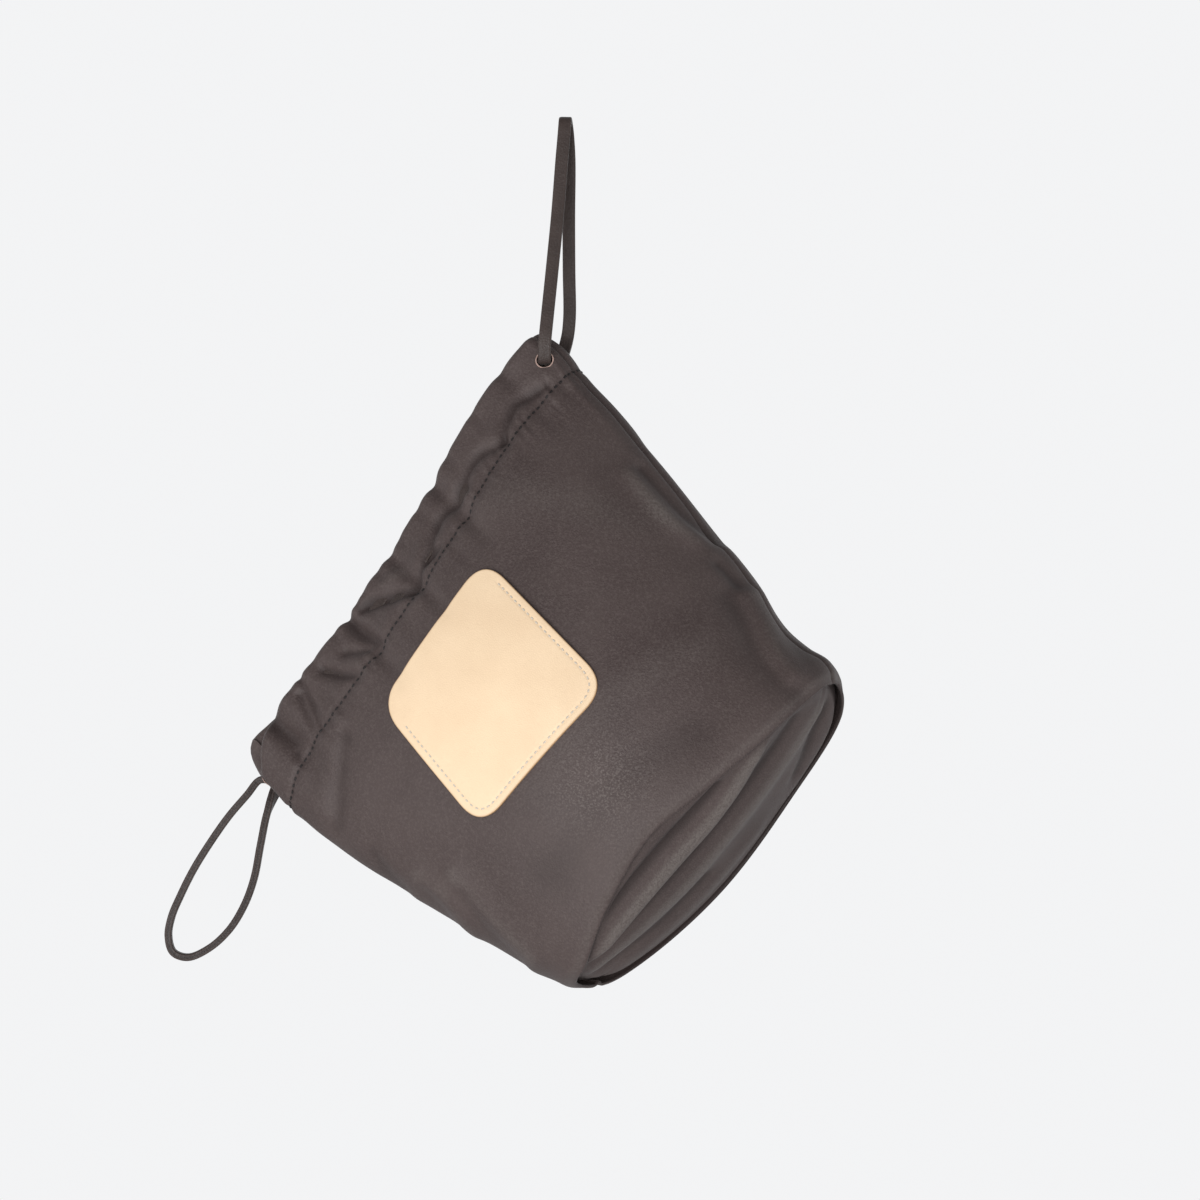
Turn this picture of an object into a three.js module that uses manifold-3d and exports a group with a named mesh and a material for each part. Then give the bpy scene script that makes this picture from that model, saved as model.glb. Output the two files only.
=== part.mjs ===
// A soft leather drawstring bag with an oval base, hanging at a slant by one of its two drawstrings.
// Millimetres, +Z up, +X to the viewer's right and +Y away from the viewer, towards the wall behind.
// The origin is where the hanging loop bears on its hook, at the inner side of the loop's top.
import * as THREE from "three";
import { mergeVertices } from "three/addons/utils/BufferGeometryUtils.js";
import Module from "manifold-3d";

const wasm = await Module();
wasm.setup();

// The bag's body, in its own frame: x along the mouth, y from front to back, z from base to mouth
const bagHeight = 208;
const mouthWidth = 227;
const mouthDepth = 28;
const baseWidth = 180;
const baseDepth = 120;
const sideRadius = 9.5;
const leather = 1.5;
const seamGap = 0.3;

// The casing that holds the drawstrings: the mouth folded inwards and stitched down
const casingDepth = 27.5;
const tunnelGap = 4.4;
const tunnelRamp = 7;
const hemTurn = 3;
const holeDiameter = 8;
const holeSides = 16;
const holeDepth = 14.5;
const rightFrontHoleFromSide = 17;
const rightRearHoleFromSide = 10;
const leftFrontHoleBehindSide = 9;
const leftRearHoleBehindSide = 23;

// Seams, each an angle round the body from the right side line, the front coming first
const rightSeam = 0.18;
const leftSeam = Math.PI + 0.32;
const lipTuck = 2.4;
const lipHeight = 3;
const seamDip = 1.1;
const seamDipWidth = 2.4;
const stitchDip = 0.8;
const stitchDipWidth = 2.5;

// The base, let in between the walls
const baseRecess = 1;
const baseSag = 5;

// The patch pocket on the front
const patchThickness = 1.6;
const patchWidth = 86;
const patchHeight = 84;
const patchRadius = 15;
const patchX = -21.6;
const patchZ = 112;

// The drawstrings: flat leather laces
const laceWidth = 6;
const laceThickness = 3.4;
const laceCorner = 1;
const laneSpacing = 6.8;
const laceEndGap = 0.2;

// How the bag hangs: the slant of its mouth, its lean towards the wall, and where the middle between
// its two upper holes comes, from the hook
const hangAngle = THREE.MathUtils.degToRad(46.2);
const leanAngle = THREE.MathUtils.degToRad(13);
const holesFromHook = new THREE.Vector3(-6, -4.4, -110.1);

const leatherLook = new THREE.MeshStandardMaterial({ color: 0x453d3b, roughness: 0.55, metalness: 0 });
const laceLook = new THREE.MeshStandardMaterial({ color: 0x3f3431, roughness: 0.6, metalness: 0 });
const patchLook = new THREE.MeshStandardMaterial({ color: 0xf5dcb8, roughness: 0.65, metalness: 0 });

// The body's outline by level. up is a share of the height. right and left are shares of half the
// width, and front and back of half the depth, both running evenly from the base to the mouth.
// round is how full the section is: 0.5 is an ellipse, and 1 is slimmer towards the sides.
const levels = [
  { up: 0, right: 0.994, left: 1.073, front: 1.0, back: 1.0, round: 0.5 },
  { up: 0.05, right: 1.006, left: 1.092, front: 1.06, back: 1.0, round: 0.52 },
  { up: 0.1, right: 0.973, left: 1.116, front: 1.115, back: 0.995, round: 0.55 },
  { up: 0.175, right: 0.951, left: 1.13, front: 1.19, back: 1.005, round: 0.58 },
  { up: 0.3, right: 0.989, left: 1.153, front: 1.285, back: 1.0, round: 0.62 },
  { up: 0.45, right: 0.988, left: 1.175, front: 1.42, back: 0.99, round: 0.68 },
  { up: 0.6, right: 0.999, left: 1.189, front: 1.555, back: 0.98, round: 0.74 },
  { up: 0.75, right: 1.009, left: 1.189, front: 1.6, back: 0.99, round: 0.8 },
  { up: 0.86, right: 0.996, left: 1.17, front: 1.47, back: 0.97, round: 0.85 },
  { up: 0.93, right: 1.004, left: 1.152, front: 1.185, back: 0.94, round: 0.9 },
  { up: 1, right: 0.97, left: 1.128, front: 1.07, back: 0.94, round: 0.95 },
];

// The mouth's edge, which rises to the right: at is a share of half the mouth's width, and rise is how
// far the edge lies above the bag's height there, as a share of it
const mouthLine = [
  { at: -1.15, rise: -0.123 },
  { at: -0.95, rise: -0.093 },
  { at: -0.7, rise: -0.078 },
  { at: -0.45, rise: -0.062 },
  { at: -0.2, rise: -0.04 },
  { at: 0.1, rise: -0.007 },
  { at: 0.4, rise: 0.038 },
  { at: 0.7, rise: 0.074 },
  { at: 1, rise: 0.087 },
];

// The height of the base's edge round the body, as a share of the base's depth. turn is a share of
// a full turn from the right side line, the front coming first.
const baseEdge = [
  { turn: 0, lift: 0.063 },
  { turn: 0.08, lift: 0.056 },
  { turn: 0.16, lift: 0.05 },
  { turn: 0.22, lift: 0.066 },
  { turn: 0.28, lift: 0.096 },
  { turn: 0.34, lift: 0.048 },
  { turn: 0.42, lift: -0.03 },
  { turn: 0.5, lift: -0.021 },
  { turn: 0.6, lift: -0.065 },
  { turn: 0.72, lift: -0.082 },
  { turn: 0.83, lift: -0.026 },
  { turn: 0.92, lift: 0.01 },
  { turn: 1, lift: 0.063 },
];

// The fold at the mouth's left end, where the front casing's corner sinks and the back one stands up:
// rise is a share of the mouth's depth
const endFold = [
  { turn: 0, rise: 0 },
  { turn: 0.35, rise: 0 },
  { turn: 0.396, rise: -0.01 },
  { turn: 0.427, rise: -0.12 },
  { turn: 0.46, rise: -0.24 },
  { turn: 0.487, rise: -0.26 },
  { turn: 0.51, rise: -0.1 },
  { turn: 0.537, rise: 0.17 },
  { turn: 0.566, rise: 0.17 },
  { turn: 0.599, rise: 0.05 },
  { turn: 0.64, rise: 0 },
  { turn: 1, rise: 0 },
];
const endFoldStart = 0.78;

// The casing's gathers: at is a share of half the mouth's width, and width and depth are shares of
// the casing's depth
const frontGathers = [
  { at: 0.74, width: 0.2, depth: 0.06 },
  { at: 0.22, width: 0.16, depth: 0.1 },
  { at: -0.11, width: 0.15, depth: 0.1 },
  { at: -0.42, width: 0.18, depth: 0.11 },
  { at: -0.92, width: 0.2, depth: 0.11 },
];
const backGathers = [
  { at: 0.6, width: 0.2, depth: 0.07 },
  { at: 0.15, width: 0.18, depth: 0.08 },
  { at: -0.3, width: 0.18, depth: 0.08 },
  { at: -0.7, width: 0.2, depth: 0.07 },
];

// The patch's corners, as shares of its width and height from its middle
const patchCorners = [
  { across: 0.448, up: 0.55 },
  { across: 0.421, up: -0.478 },
  { across: -0.574, up: -0.492 },
  { across: -0.492, up: 0.414 },
];

const fullTurn = 2 * Math.PI;

function smoothStep(value) {
  const v = THREE.MathUtils.clamp(value, 0, 1);
  return v * v * (3 - 2 * v);
}

// A column of a table at a place along it, on one smooth curve through its rows
function columnAt(rows, along, key, place) {
  let i = 0;
  while (i < rows.length - 2 && place > rows[i + 1][along]) i += 1;
  const slope = (j) => {
    const low = rows[Math.max(j - 1, 0)];
    const high = rows[Math.min(j + 1, rows.length - 1)];
    return (high[key] - low[key]) / (high[along] - low[along]);
  };
  const step = rows[i + 1][along] - rows[i][along];
  const share = (place - rows[i][along]) / step;
  const rise = rows[i + 1][key] - rows[i][key];
  const bend = slope(i) * step - rise;
  const bendEnd = rise - slope(i + 1) * step;
  const curve = share * (1 - share) * ((1 - share) * bend + share * bendEnd);
  return rows[i][key] + share * rise + curve;
}

// The height of the mouth's edge
function mouthEdge(x) {
  return bagHeight * (1 + columnAt(mouthLine, "at", "rise", x / (mouthWidth / 2)));
}

// The smooth body without its folds, at an angle round it and a level
function bodyPoint(angle, up) {
  const halfWidth = THREE.MathUtils.lerp(baseWidth, mouthWidth, up) / 2;
  const halfDepth = THREE.MathUtils.lerp(baseDepth, mouthDepth, up) / 2;
  const right = columnAt(levels, "up", "right", up) * halfWidth;
  const left = columnAt(levels, "up", "left", up) * halfWidth;
  const face = Math.sin(angle) > 0 ? "front" : "back";
  const reach = columnAt(levels, "up", face, up) * halfDepth;
  const across = Math.cos(angle);
  const half = (right + left) / 2;
  const x = (right - left) / 2 + half * across;
  const fromSide = half * (1 - Math.abs(across));
  const shortOf = Math.max(sideRadius - fromSide, 0);
  const cap = Math.sqrt(sideRadius ** 2 - shortOf ** 2);
  const full = Math.abs(Math.sin(angle)) ** (2 * columnAt(levels, "up", "round", up));
  const out = cap + (reach - sideRadius) * full;
  const y = face === "front" ? -out : out;
  const turn = THREE.MathUtils.euclideanModulo(angle / fullTurn, 1);
  const bottom = baseDepth * columnAt(baseEdge, "turn", "lift", turn);
  const folded = THREE.MathUtils.smoothstep(up, endFoldStart, 1);
  const fold = mouthDepth * columnAt(endFold, "turn", "rise", turn) * folded;
  const z = THREE.MathUtils.lerp(bottom, mouthEdge(x), up) + fold;
  return new THREE.Vector3(x, y, z);
}

const around = (angle, up) => {
  const step = 1e-3;
  return bodyPoint(angle + step, up).sub(bodyPoint(angle - step, up)).divideScalar(2 * step);
};
const upward = (angle, up) => {
  const step = 1e-3;
  return bodyPoint(angle, up + step).sub(bodyPoint(angle, up - step)).divideScalar(2 * step);
};
const outward = (angle, up) => around(angle, up).cross(upward(angle, up)).normalize().negate();

// How far below the mouth's edge a level lies, and the level at a distance below it
const wallHeight = (angle) => bodyPoint(angle, 1).z - bodyPoint(angle, 0).z;
const belowMouth = (angle, up) => (1 - up) * wallHeight(angle);
const levelBelow = (angle, distance) => 1 - distance / wallHeight(angle);

const bump = (distance, width) => Math.exp(-((distance / width) ** 2));

// How far the leather stands out from the smooth body, the same for each layer of it
function relief(angle, up) {
  const place = bodyPoint(angle, up);
  const gathers = Math.sin(angle) > 0 ? frontGathers : backGathers;
  const below = belowMouth(angle, up);
  const inCasing = smoothStep(1 - (below - casingDepth) / casingDepth);
  let out = -stitchDip * bump(below - casingDepth, stitchDipWidth);
  for (const gather of gathers) {
    const distance = place.x - (gather.at * mouthWidth) / 2;
    out -= inCasing * gather.depth * casingDepth * bump(distance, gather.width * casingDepth);
  }
  out -= lipTuck * bump(up * bagHeight, lipHeight);
  const turned = THREE.MathUtils.euclideanModulo(angle, fullTurn);
  for (const seam of [rightSeam, leftSeam, rightSeam + fullTurn]) {
    const distance = (turned - seam) * around(seam, up).length();
    out -= seamDip * bump(distance, seamDipWidth);
  }
  return out;
}

function layerPoint(angle, up, depth) {
  const lift = relief(angle, up) - depth;
  return bodyPoint(angle, up).addScaledVector(outward(angle, up), lift);
}

// The angle at a distance round the mouth's side from its side line
function angleFromSide(side, distance, up) {
  const step = 0.002;
  let angle = side;
  let left = Math.abs(distance);
  while (left > 0) {
    angle += Math.sign(distance) * step;
    left -= around(angle, up).length() * step;
  }
  return angle;
}

const foldRadius = leather + tunnelGap / 2;
const gapBelow = (below) => {
  const share = smoothStep((casingDepth - below) / tunnelRamp);
  return THREE.MathUtils.lerp(seamGap, tunnelGap, share);
};

// A closed solid from points and triangles, turned so that its faces point out
function closedSolid(points, faces) {
  const merged = new THREE.BufferGeometry();
  const flat = points.flatMap((p) => [p.x, p.y, p.z]);
  merged.setAttribute("position", new THREE.Float32BufferAttribute(flat, 3));
  let volume = 0;
  for (const [a, b, c] of faces) volume += points[a].dot(points[b].clone().cross(points[c]));
  const turned = volume < 0 ? faces.map(([a, b, c]) => [a, c, b]) : faces;
  merged.setIndex(turned.flat());
  merged.computeVertexNormals();
  return merged;
}

function toManifold(geometry) {
  const bare = geometry.clone();
  bare.deleteAttribute("normal");
  bare.deleteAttribute("uv");
  const merged = mergeVertices(bare, 1e-4);
  return new wasm.Manifold(
    new wasm.Mesh({
      numProp: 3,
      vertProperties: new Float32Array(merged.attributes.position.array),
      triVerts: new Uint32Array(merged.index.array),
    }),
  );
}

function fromManifold(solid) {
  const mesh = solid.getMesh();
  const geometry = new THREE.BufferGeometry();
  geometry.setAttribute("position", new THREE.Float32BufferAttribute(mesh.vertProperties, 3));
  geometry.setIndex(Array.from(mesh.triVerts));
  geometry.computeVertexNormals();
  return geometry;
}

const panelColumns = 38;
const columnSpread = 0.3;
const wallShares = [0, 0.025, 0.1, 0.24, 0.42, 0.62, 0.82];
const casingShares = [1, 0.78, 0.5];
const foldTurns = [36, 90, 144].map(THREE.MathUtils.degToRad);

// How far round from one seam to the next each column of a panel's points lies
const columnShares = Array.from({ length: panelColumns + 1 }, (_, i) => {
  const share = i / panelColumns;
  return share + (columnSpread / fullTurn) * Math.sin(fullTurn * share);
});

// The angles of both panels' columns, once round from the right seam
const columnAngles = [
  [rightSeam, leftSeam],
  [leftSeam, rightSeam + fullTurn],
].flatMap(([from, to]) =>
  columnShares.slice(0, panelColumns).map((share) => THREE.MathUtils.lerp(from, to, share)),
);

// One row for each point of a panel's closed section at an angle. The outer path goes up the wall,
// over the mouth's fold and down the hem inside it, and the inner path comes back the same way.
function panelSection(angle) {
  const casingBelow = [...casingShares.map((share) => share * casingDepth), foldRadius];
  const hemBelow = [...casingBelow, casingDepth + hemTurn].sort((a, b) => a - b);
  const path = (shift) => {
    const wallUps = [
      ...wallShares.map((share) => share * levelBelow(angle, casingDepth)),
      ...casingBelow.map((below) => levelBelow(angle, below)),
    ];
    const fold = foldTurns.map((turn) => ({
      up: levelBelow(angle, foldRadius),
      depth: foldRadius - (foldRadius - shift) * Math.cos(turn),
      over: (foldRadius - shift) * Math.sin(turn),
    }));
    const hem = hemBelow.map((below) => ({
      up: levelBelow(angle, below),
      depth: 2 * leather + gapBelow(below) - shift,
    }));
    return [...wallUps.map((up) => ({ up, depth: shift })), ...fold, ...hem];
  };
  return [...path(0), ...path(leather).reverse()];
}

function sectionPoint(angle, { up, depth, over = 0 }) {
  const point = layerPoint(angle, up, depth);
  return point.addScaledVector(upward(angle, up).normalize(), over);
}

// A wall panel from one seam to the next, its edges half a gap short of each seam
function panelGeometry(from, to) {
  const points = [];
  const faces = [];
  const rows = panelSection(from).length;
  for (const share of columnShares) {
    for (const row of panelSection(THREE.MathUtils.lerp(from, to, share))) {
      const short = (seam) => seamGap / 2 / around(seam, row.up).length();
      const angle = THREE.MathUtils.lerp(from + short(from), to - short(to), share);
      points.push(sectionPoint(angle, row));
    }
  }
  for (let i = 0; i < panelColumns; i += 1) {
    for (let j = 0; j < rows; j += 1) {
      const a = i * rows + j;
      const b = i * rows + ((j + 1) % rows);
      faces.push([a, b, a + rows], [b, b + rows, a + rows]);
    }
  }
  const last = panelColumns * rows;
  for (let j = 0; j < rows / 2 - 1; j += 1) {
    const [a, b, c, d] = [j, j + 1, rows - 1 - j, rows - 2 - j];
    faces.push([a, c, b], [b, c, d]);
    faces.push([a + last, b + last, c + last], [b + last, d + last, c + last]);
  }
  return closedSolid(points, faces);
}

// A hole punched square through the outer wall of the casing
function punch(geometry, angles) {
  let solid = toManifold(geometry);
  for (const angle of angles) {
    const up = levelBelow(angle, holeDepth);
    const past = tunnelGap / 2;
    const length = leather + 2 * past;
    const tool = new THREE.CylinderGeometry(holeDiameter / 2, holeDiameter / 2, length, holeSides);
    const along = outward(angle, up);
    tool.applyQuaternion(new THREE.Quaternion().setFromUnitVectors(new THREE.Vector3(0, 1, 0), along));
    const middle = layerPoint(angle, up, leather / 2);
    tool.translate(middle.x, middle.y, middle.z);
    solid = solid.subtract(toManifold(tool));
  }
  return fromManifold(solid);
}

const holeLevel = 1 - holeDepth / bagHeight;
const holes = {
  rightFront: angleFromSide(0, rightFrontHoleFromSide, holeLevel),
  rightRear: angleFromSide(2 * Math.PI, -rightRearHoleFromSide, holeLevel),
  leftFront: angleFromSide(Math.PI, leftFrontHoleBehindSide, holeLevel),
  leftRear: angleFromSide(Math.PI, leftRearHoleBehindSide, holeLevel),
};

// A closed plate from two faces, each a list of rings of points and then its middle point
function plateGeometry(lower, upper, columns) {
  const rings = (lower.length - 1) / columns;
  const side = lower.length;
  const faces = [];
  for (let i = 0; i < columns; i += 1) {
    const next = (i + 1) % columns;
    for (let r = 0; r < rings - 1; r += 1) {
      const [a, b] = [r * columns + i, r * columns + next];
      const [c, d] = [a + columns, b + columns];
      faces.push([a, c, b], [b, c, d]);
      faces.push([a + side, b + side, c + side], [b + side, d + side, c + side]);
    }
    const [a, b] = [(rings - 1) * columns + i, (rings - 1) * columns + next];
    faces.push([a, side - 1, b], [a + side, b + side, 2 * side - 1]);
    faces.push([i, next, i + side], [next, next + side, i + side]);
  }
  return closedSolid([...lower, ...upper], faces);
}

// The base: a plate within the walls that sags towards its middle
function baseGeometry() {
  const rings = [1, 0.88, 0.66, 0.42, 0.2, 0];
  const rim = columnAngles
    .filter((_, i) => i % 2 === 0)
    .map((angle) => layerPoint(angle, baseRecess / bagHeight, leather + seamGap));
  const middle = rim.reduce((sum, p) => sum.add(p), new THREE.Vector3()).divideScalar(rim.length);
  const face = (lift) =>
    rings.flatMap((ring) =>
      (ring ? rim : [middle]).map((edge) => {
        const point = middle.clone().lerp(edge, ring);
        return point.setZ(point.z + lift - baseSag * (1 - ring ** 2));
      }),
    );
  return plateGeometry(face(0), face(leather), rim.length);
}

// A place on the front wall from x and z in the bag's frame, standing off it by a lift
function frontPoint(x, z, lift) {
  let up = z / bagHeight;
  let angle = Math.PI / 2;
  for (let i = 0; i < 12; i += 1) {
    const here = bodyPoint(angle, up);
    up += (z - here.z) / bagHeight;
    const turn = (here.x - x) / around(Math.PI / 2, up).length();
    angle = THREE.MathUtils.clamp(angle + turn, rightSeam, Math.PI);
  }
  return layerPoint(angle, up, -lift);
}

function patchGeometry() {
  const corners = patchCorners.map(
    ({ across, up }) => new THREE.Vector2(patchX + across * patchWidth, patchZ + up * patchHeight),
  );
  const shape = new THREE.Shape();
  corners.forEach((corner, i) => {
    const before = corners[(i + 3) % 4];
    const after = corners[(i + 1) % 4];
    const start = before.clone().sub(corner).setLength(patchRadius).add(corner);
    const end = after.clone().sub(corner).setLength(patchRadius).add(corner);
    if (i === 0) shape.moveTo(start.x, start.y);
    else shape.lineTo(start.x, start.y);
    shape.quadraticCurveTo(corner.x, corner.y, end.x, end.y);
  });
  shape.closePath();
  const columns = 36;
  const outline = shape.getSpacedPoints(columns).slice(0, columns);
  const middle = new THREE.Vector2(patchX, patchZ);
  const face = (lift) =>
    [1, 0.75, 0.5, 0.25, 0].flatMap((ring) =>
      (ring ? outline : [middle]).map((edge) => {
        const place = middle.clone().lerp(edge, ring);
        return frontPoint(place.x, place.y, lift);
      }),
    );
  return plateGeometry(face(seamGap), face(seamGap + patchThickness), columns);
}

// A lace's section: a flat strip with its corners cut, as steps across its width and its thickness
const [halfWide, halfThick] = [laceWidth / 2, laceThickness / 2];
const laceSection = [
  [halfWide, halfThick - laceCorner],
  [halfWide - laceCorner, halfThick],
  [laceCorner - halfWide, halfThick],
  [-halfWide, halfThick - laceCorner],
  [-halfWide, laceCorner - halfThick],
  [laceCorner - halfWide, -halfThick],
  [halfWide - laceCorner, -halfThick],
  [halfWide, laceCorner - halfThick],
];

// A closed tube through rings of points, with flat ends
function tubeGeometry(rings) {
  const sides = rings[0].length;
  const faces = [];
  const last = (rings.length - 1) * sides;
  for (let i = 0; i < last; i += sides) {
    for (let j = 0; j < sides; j += 1) {
      const [a, b] = [i + j, i + ((j + 1) % sides)];
      faces.push([a, b, a + sides], [b, b + sides, a + sides]);
    }
  }
  for (let j = 1; j < sides - 1; j += 1) faces.push([0, j + 1, j], [last, last + j, last + j + 1]);
  return closedSolid(rings.flat(), faces);
}

// The stretch of a lace round inside the casing, between two holes, in its own lane
function runGeometry(from, to, lane) {
  const twiceRound = [...columnAngles, ...columnAngles.map((angle) => angle + fullTurn)];
  const stops = [from, ...twiceRound.filter((angle) => angle > from && angle < to), to];
  const middle = leather + tunnelGap / 2;
  return tubeGeometry(
    stops.map((angle) =>
      laceSection.map(([across, out]) =>
        layerPoint(angle, levelBelow(angle, lane + across), middle + out),
      ),
    ),
  );
}

// A free stretch of a lace along chosen points, each with the way that the lace's width faces there.
// A smooth curve through them gives each ring of the tube its slant.
function laceGeometry(stops) {
  const path = new THREE.CatmullRomCurve3(stops.map(({ at }) => at), false, "centripetal");
  const rings = stops.map(({ at, wide: faced }, i) => {
    const along = path.getTangent(i / (stops.length - 1));
    const wide = faced.clone().addScaledVector(along, -faced.dot(along)).normalize();
    const thick = along.clone().cross(wide);
    return laceSection.map(([across, out]) =>
      at.clone().addScaledVector(wide, across).addScaledVector(thick, out),
    );
  });
  return tubeGeometry(rings);
}

function named(name, geometry, material) {
  const mesh = new THREE.Mesh(geometry, material);
  mesh.name = name;
  return mesh;
}

const frontPanel = punch(panelGeometry(rightSeam, leftSeam), [holes.rightFront, holes.leftFront]);
const backPanel = punch(panelGeometry(leftSeam, rightSeam + fullTurn), [holes.leftRear, holes.rightRear]);
const hangingRun = runGeometry(holes.rightFront, holes.rightRear, holeDepth + laneSpacing / 2);
const freeRun = runGeometry(holes.leftRear, holes.leftFront + fullTurn, holeDepth - laneSpacing / 2);

const bag = new THREE.Group();
bag.rotation.set(-leanAngle, -hangAngle, 0, "YXZ");
bag.add(named("front_panel", frontPanel, leatherLook));
bag.add(named("back_panel", backPanel, leatherLook));
bag.add(named("base_panel", baseGeometry(), leatherLook));
bag.add(named("patch_pocket", patchGeometry(), patchLook));
bag.add(named("hanging_run", hangingRun, laceLook));
bag.add(named("free_run", freeRun, laceLook));

const holePlace = (angle, depth) => layerPoint(angle, levelBelow(angle, holeDepth), depth);
const between = holePlace(holes.rightFront, 0).lerp(holePlace(holes.rightRear, 0), 0.5);
bag.position.copy(holesFromHook).sub(between.applyEuler(bag.rotation));
bag.updateMatrix();

// The free stretches of the laces, in the hanging bag's frame. Each starts and ends within a hole,
// and between them its points are chosen by hand.
const inHole = (angle, depth) => holePlace(angle, depth).applyMatrix4(bag.matrix);
const laceStart = leather + laceEndGap;
const flat = new THREE.Vector3(1, 0, 0);
const edgeOn = new THREE.Vector3(0, 1, 0);
const chosen = (rows, wide) => rows.map(([x, y, z]) => ({ at: new THREE.Vector3(x, y, z), wide }));
const hangingLoop = laceGeometry([
  { at: inHole(holes.rightFront, laceStart), wide: flat },
  { at: inHole(holes.rightFront, 0), wide: flat },
  ...chosen(
    [
      [-9.6, -16.4, -105.2],
      [-9.2, -16.6, -100],
      [-8.5, -15.6, -92.8],
      [-6, -11.8, -67.9],
      [-3.6, -8.6, -42.7],
      [-1.7, -5.6, -17.6],
      [-0.8, -4.4, -7],
      [-0.4, -3.6, -1.9],
      [-0.2, -2.5, 0.6],
      [0, 0, 1.7],
      [0.3, 2.5, 0.6],
      [0.7, 3.6, -1.9],
      [1.2, 4.4, -7],
      [1.7, 5.2, -17.6],
      [1.5, 6.4, -42.7],
      [1.6, 7.6, -67.9],
      [1.8, 8.6, -90],
      [0.6, 9.2, -100],
    ],
    flat,
  ),
  { at: inHole(holes.rightRear, 0), wide: flat },
  { at: inHole(holes.rightRear, laceStart), wide: flat },
]);
const freeLoop = laceGeometry([
  { at: inHole(holes.leftFront, laceStart), wide: edgeOn },
  { at: inHole(holes.leftFront, 0), wide: edgeOn },
  ...chosen(
    [
      [-142.2, -5.4, -305.8],
      [-148, -6, -312.6],
      [-156.4, -5.8, -322.4],
      [-164.7, -5.5, -334.1],
      [-173, -5.2, -347.4],
      [-178.9, -4.9, -359.1],
      [-183.3, -4.5, -369.5],
      [-184.8, -4, -378.5],
      [-182.6, -3.4, -386],
      [-175.8, -2.9, -388.4],
      [-166, -2.3, -384.2],
      [-156.8, -1.6, -375.8],
      [-149.9, -0.8, -364.6],
      [-145.3, 0.2, -351.9],
      [-142.3, 1.2, -336],
      [-139.2, 2.2, -321],
    ],
    edgeOn,
  ),
  { at: new THREE.Vector3(-134.5, 3.2, -309), wide: new THREE.Vector3(0.7, 0.7, 0) },
  { at: new THREE.Vector3(-130, 2.6, -300.5), wide: flat },
  { at: inHole(holes.leftRear, 0), wide: flat },
  { at: inHole(holes.leftRear, laceStart), wide: flat },
]);

const whole = new THREE.Group();
whole.add(bag);
whole.add(named("hanging_loop", hangingLoop, laceLook));
whole.add(named("free_loop", freeLoop, laceLook));

export default whole;
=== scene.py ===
"""A soft leather drawstring bag that hangs at a slant by one of its two drawstrings.

The bag's shape is worked out in its own frame, in millimetres: x along the mouth, y from front to
back and z from base to mouth. place() then hangs it in the row's frame, in metres.
"""

import math

import bmesh
import bpy
import numpy as np
from mathutils import Matrix, Vector


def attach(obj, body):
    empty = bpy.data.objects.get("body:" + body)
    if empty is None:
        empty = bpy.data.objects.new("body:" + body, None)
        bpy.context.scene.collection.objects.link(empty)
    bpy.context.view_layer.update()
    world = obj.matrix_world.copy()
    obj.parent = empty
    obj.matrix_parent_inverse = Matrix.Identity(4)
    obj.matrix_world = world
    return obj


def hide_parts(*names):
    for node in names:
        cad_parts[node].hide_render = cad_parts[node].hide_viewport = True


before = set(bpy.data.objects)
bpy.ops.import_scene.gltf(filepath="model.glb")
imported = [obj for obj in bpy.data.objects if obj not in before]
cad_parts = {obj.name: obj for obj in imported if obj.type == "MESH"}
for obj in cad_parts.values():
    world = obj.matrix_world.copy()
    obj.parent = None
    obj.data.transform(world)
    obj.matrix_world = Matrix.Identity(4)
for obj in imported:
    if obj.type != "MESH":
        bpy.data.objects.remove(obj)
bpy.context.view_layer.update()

MM = 0.001

# The bag's body
BAG_HEIGHT = 208
MOUTH_WIDTH = 227
MOUTH_DEPTH = 28
BASE_WIDTH = 180
BASE_DEPTH = 120
SIDE_RADIUS = 9.5
LEATHER = 1.5

# The casing and its holes
CASING_DEPTH = 27.5
TUNNEL_GAP = 4.4
TUNNEL_RAMP = 7
HEM_TURN = 3
HOLE_DIAMETER = 8
HOLE_DEPTH = 14.5
RIGHT_FRONT_HOLE = 17
RIGHT_REAR_HOLE = 10
LEFT_FRONT_HOLE = 9
LEFT_REAR_HOLE = 23

# Seams
RIGHT_SEAM = 0.18
LEFT_SEAM = math.pi + 0.32
SEAM_GAP = 0.1
LIP_TUCK = 2.4
LIP_HEIGHT = 3
SEAM_DIP = 1.1
SEAM_DIP_WIDTH = 2.4
SEAM_CREASE = 0.7
SEAM_CREASE_WIDTH = 0.9
STITCH_DIP = 0.8
STITCH_DIP_WIDTH = 2.5
END_FOLD_START = 0.78

# The base
BASE_RECESS = 1
BASE_GAP = 0.3
BASE_SAG = 5

# The patch pocket
PATCH_THICKNESS = 1.6
PATCH_WIDTH = 86
PATCH_HEIGHT = 84
PATCH_RADIUS = 15
PATCH_X = -21.6
PATCH_Z = 112
PATCH_GAP = 0.3

# The laces
LACE_WIDTH = 6
LACE_THICKNESS = 3.4
LANE_SPACING = 6.8
LACE_START = LEATHER + 0.2

# How the bag hangs
HANG_ANGLE = math.radians(46.2)
LEAN_ANGLE = math.radians(13)
HOLES_FROM_HOOK = np.array([-6, -4.4, -110.1])

FULL_TURN = 2 * math.pi


def table(names, *rows):
    """A table with named columns, as one array for each column."""
    return dict(zip(names.split(), np.array(rows, float).T))


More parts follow.
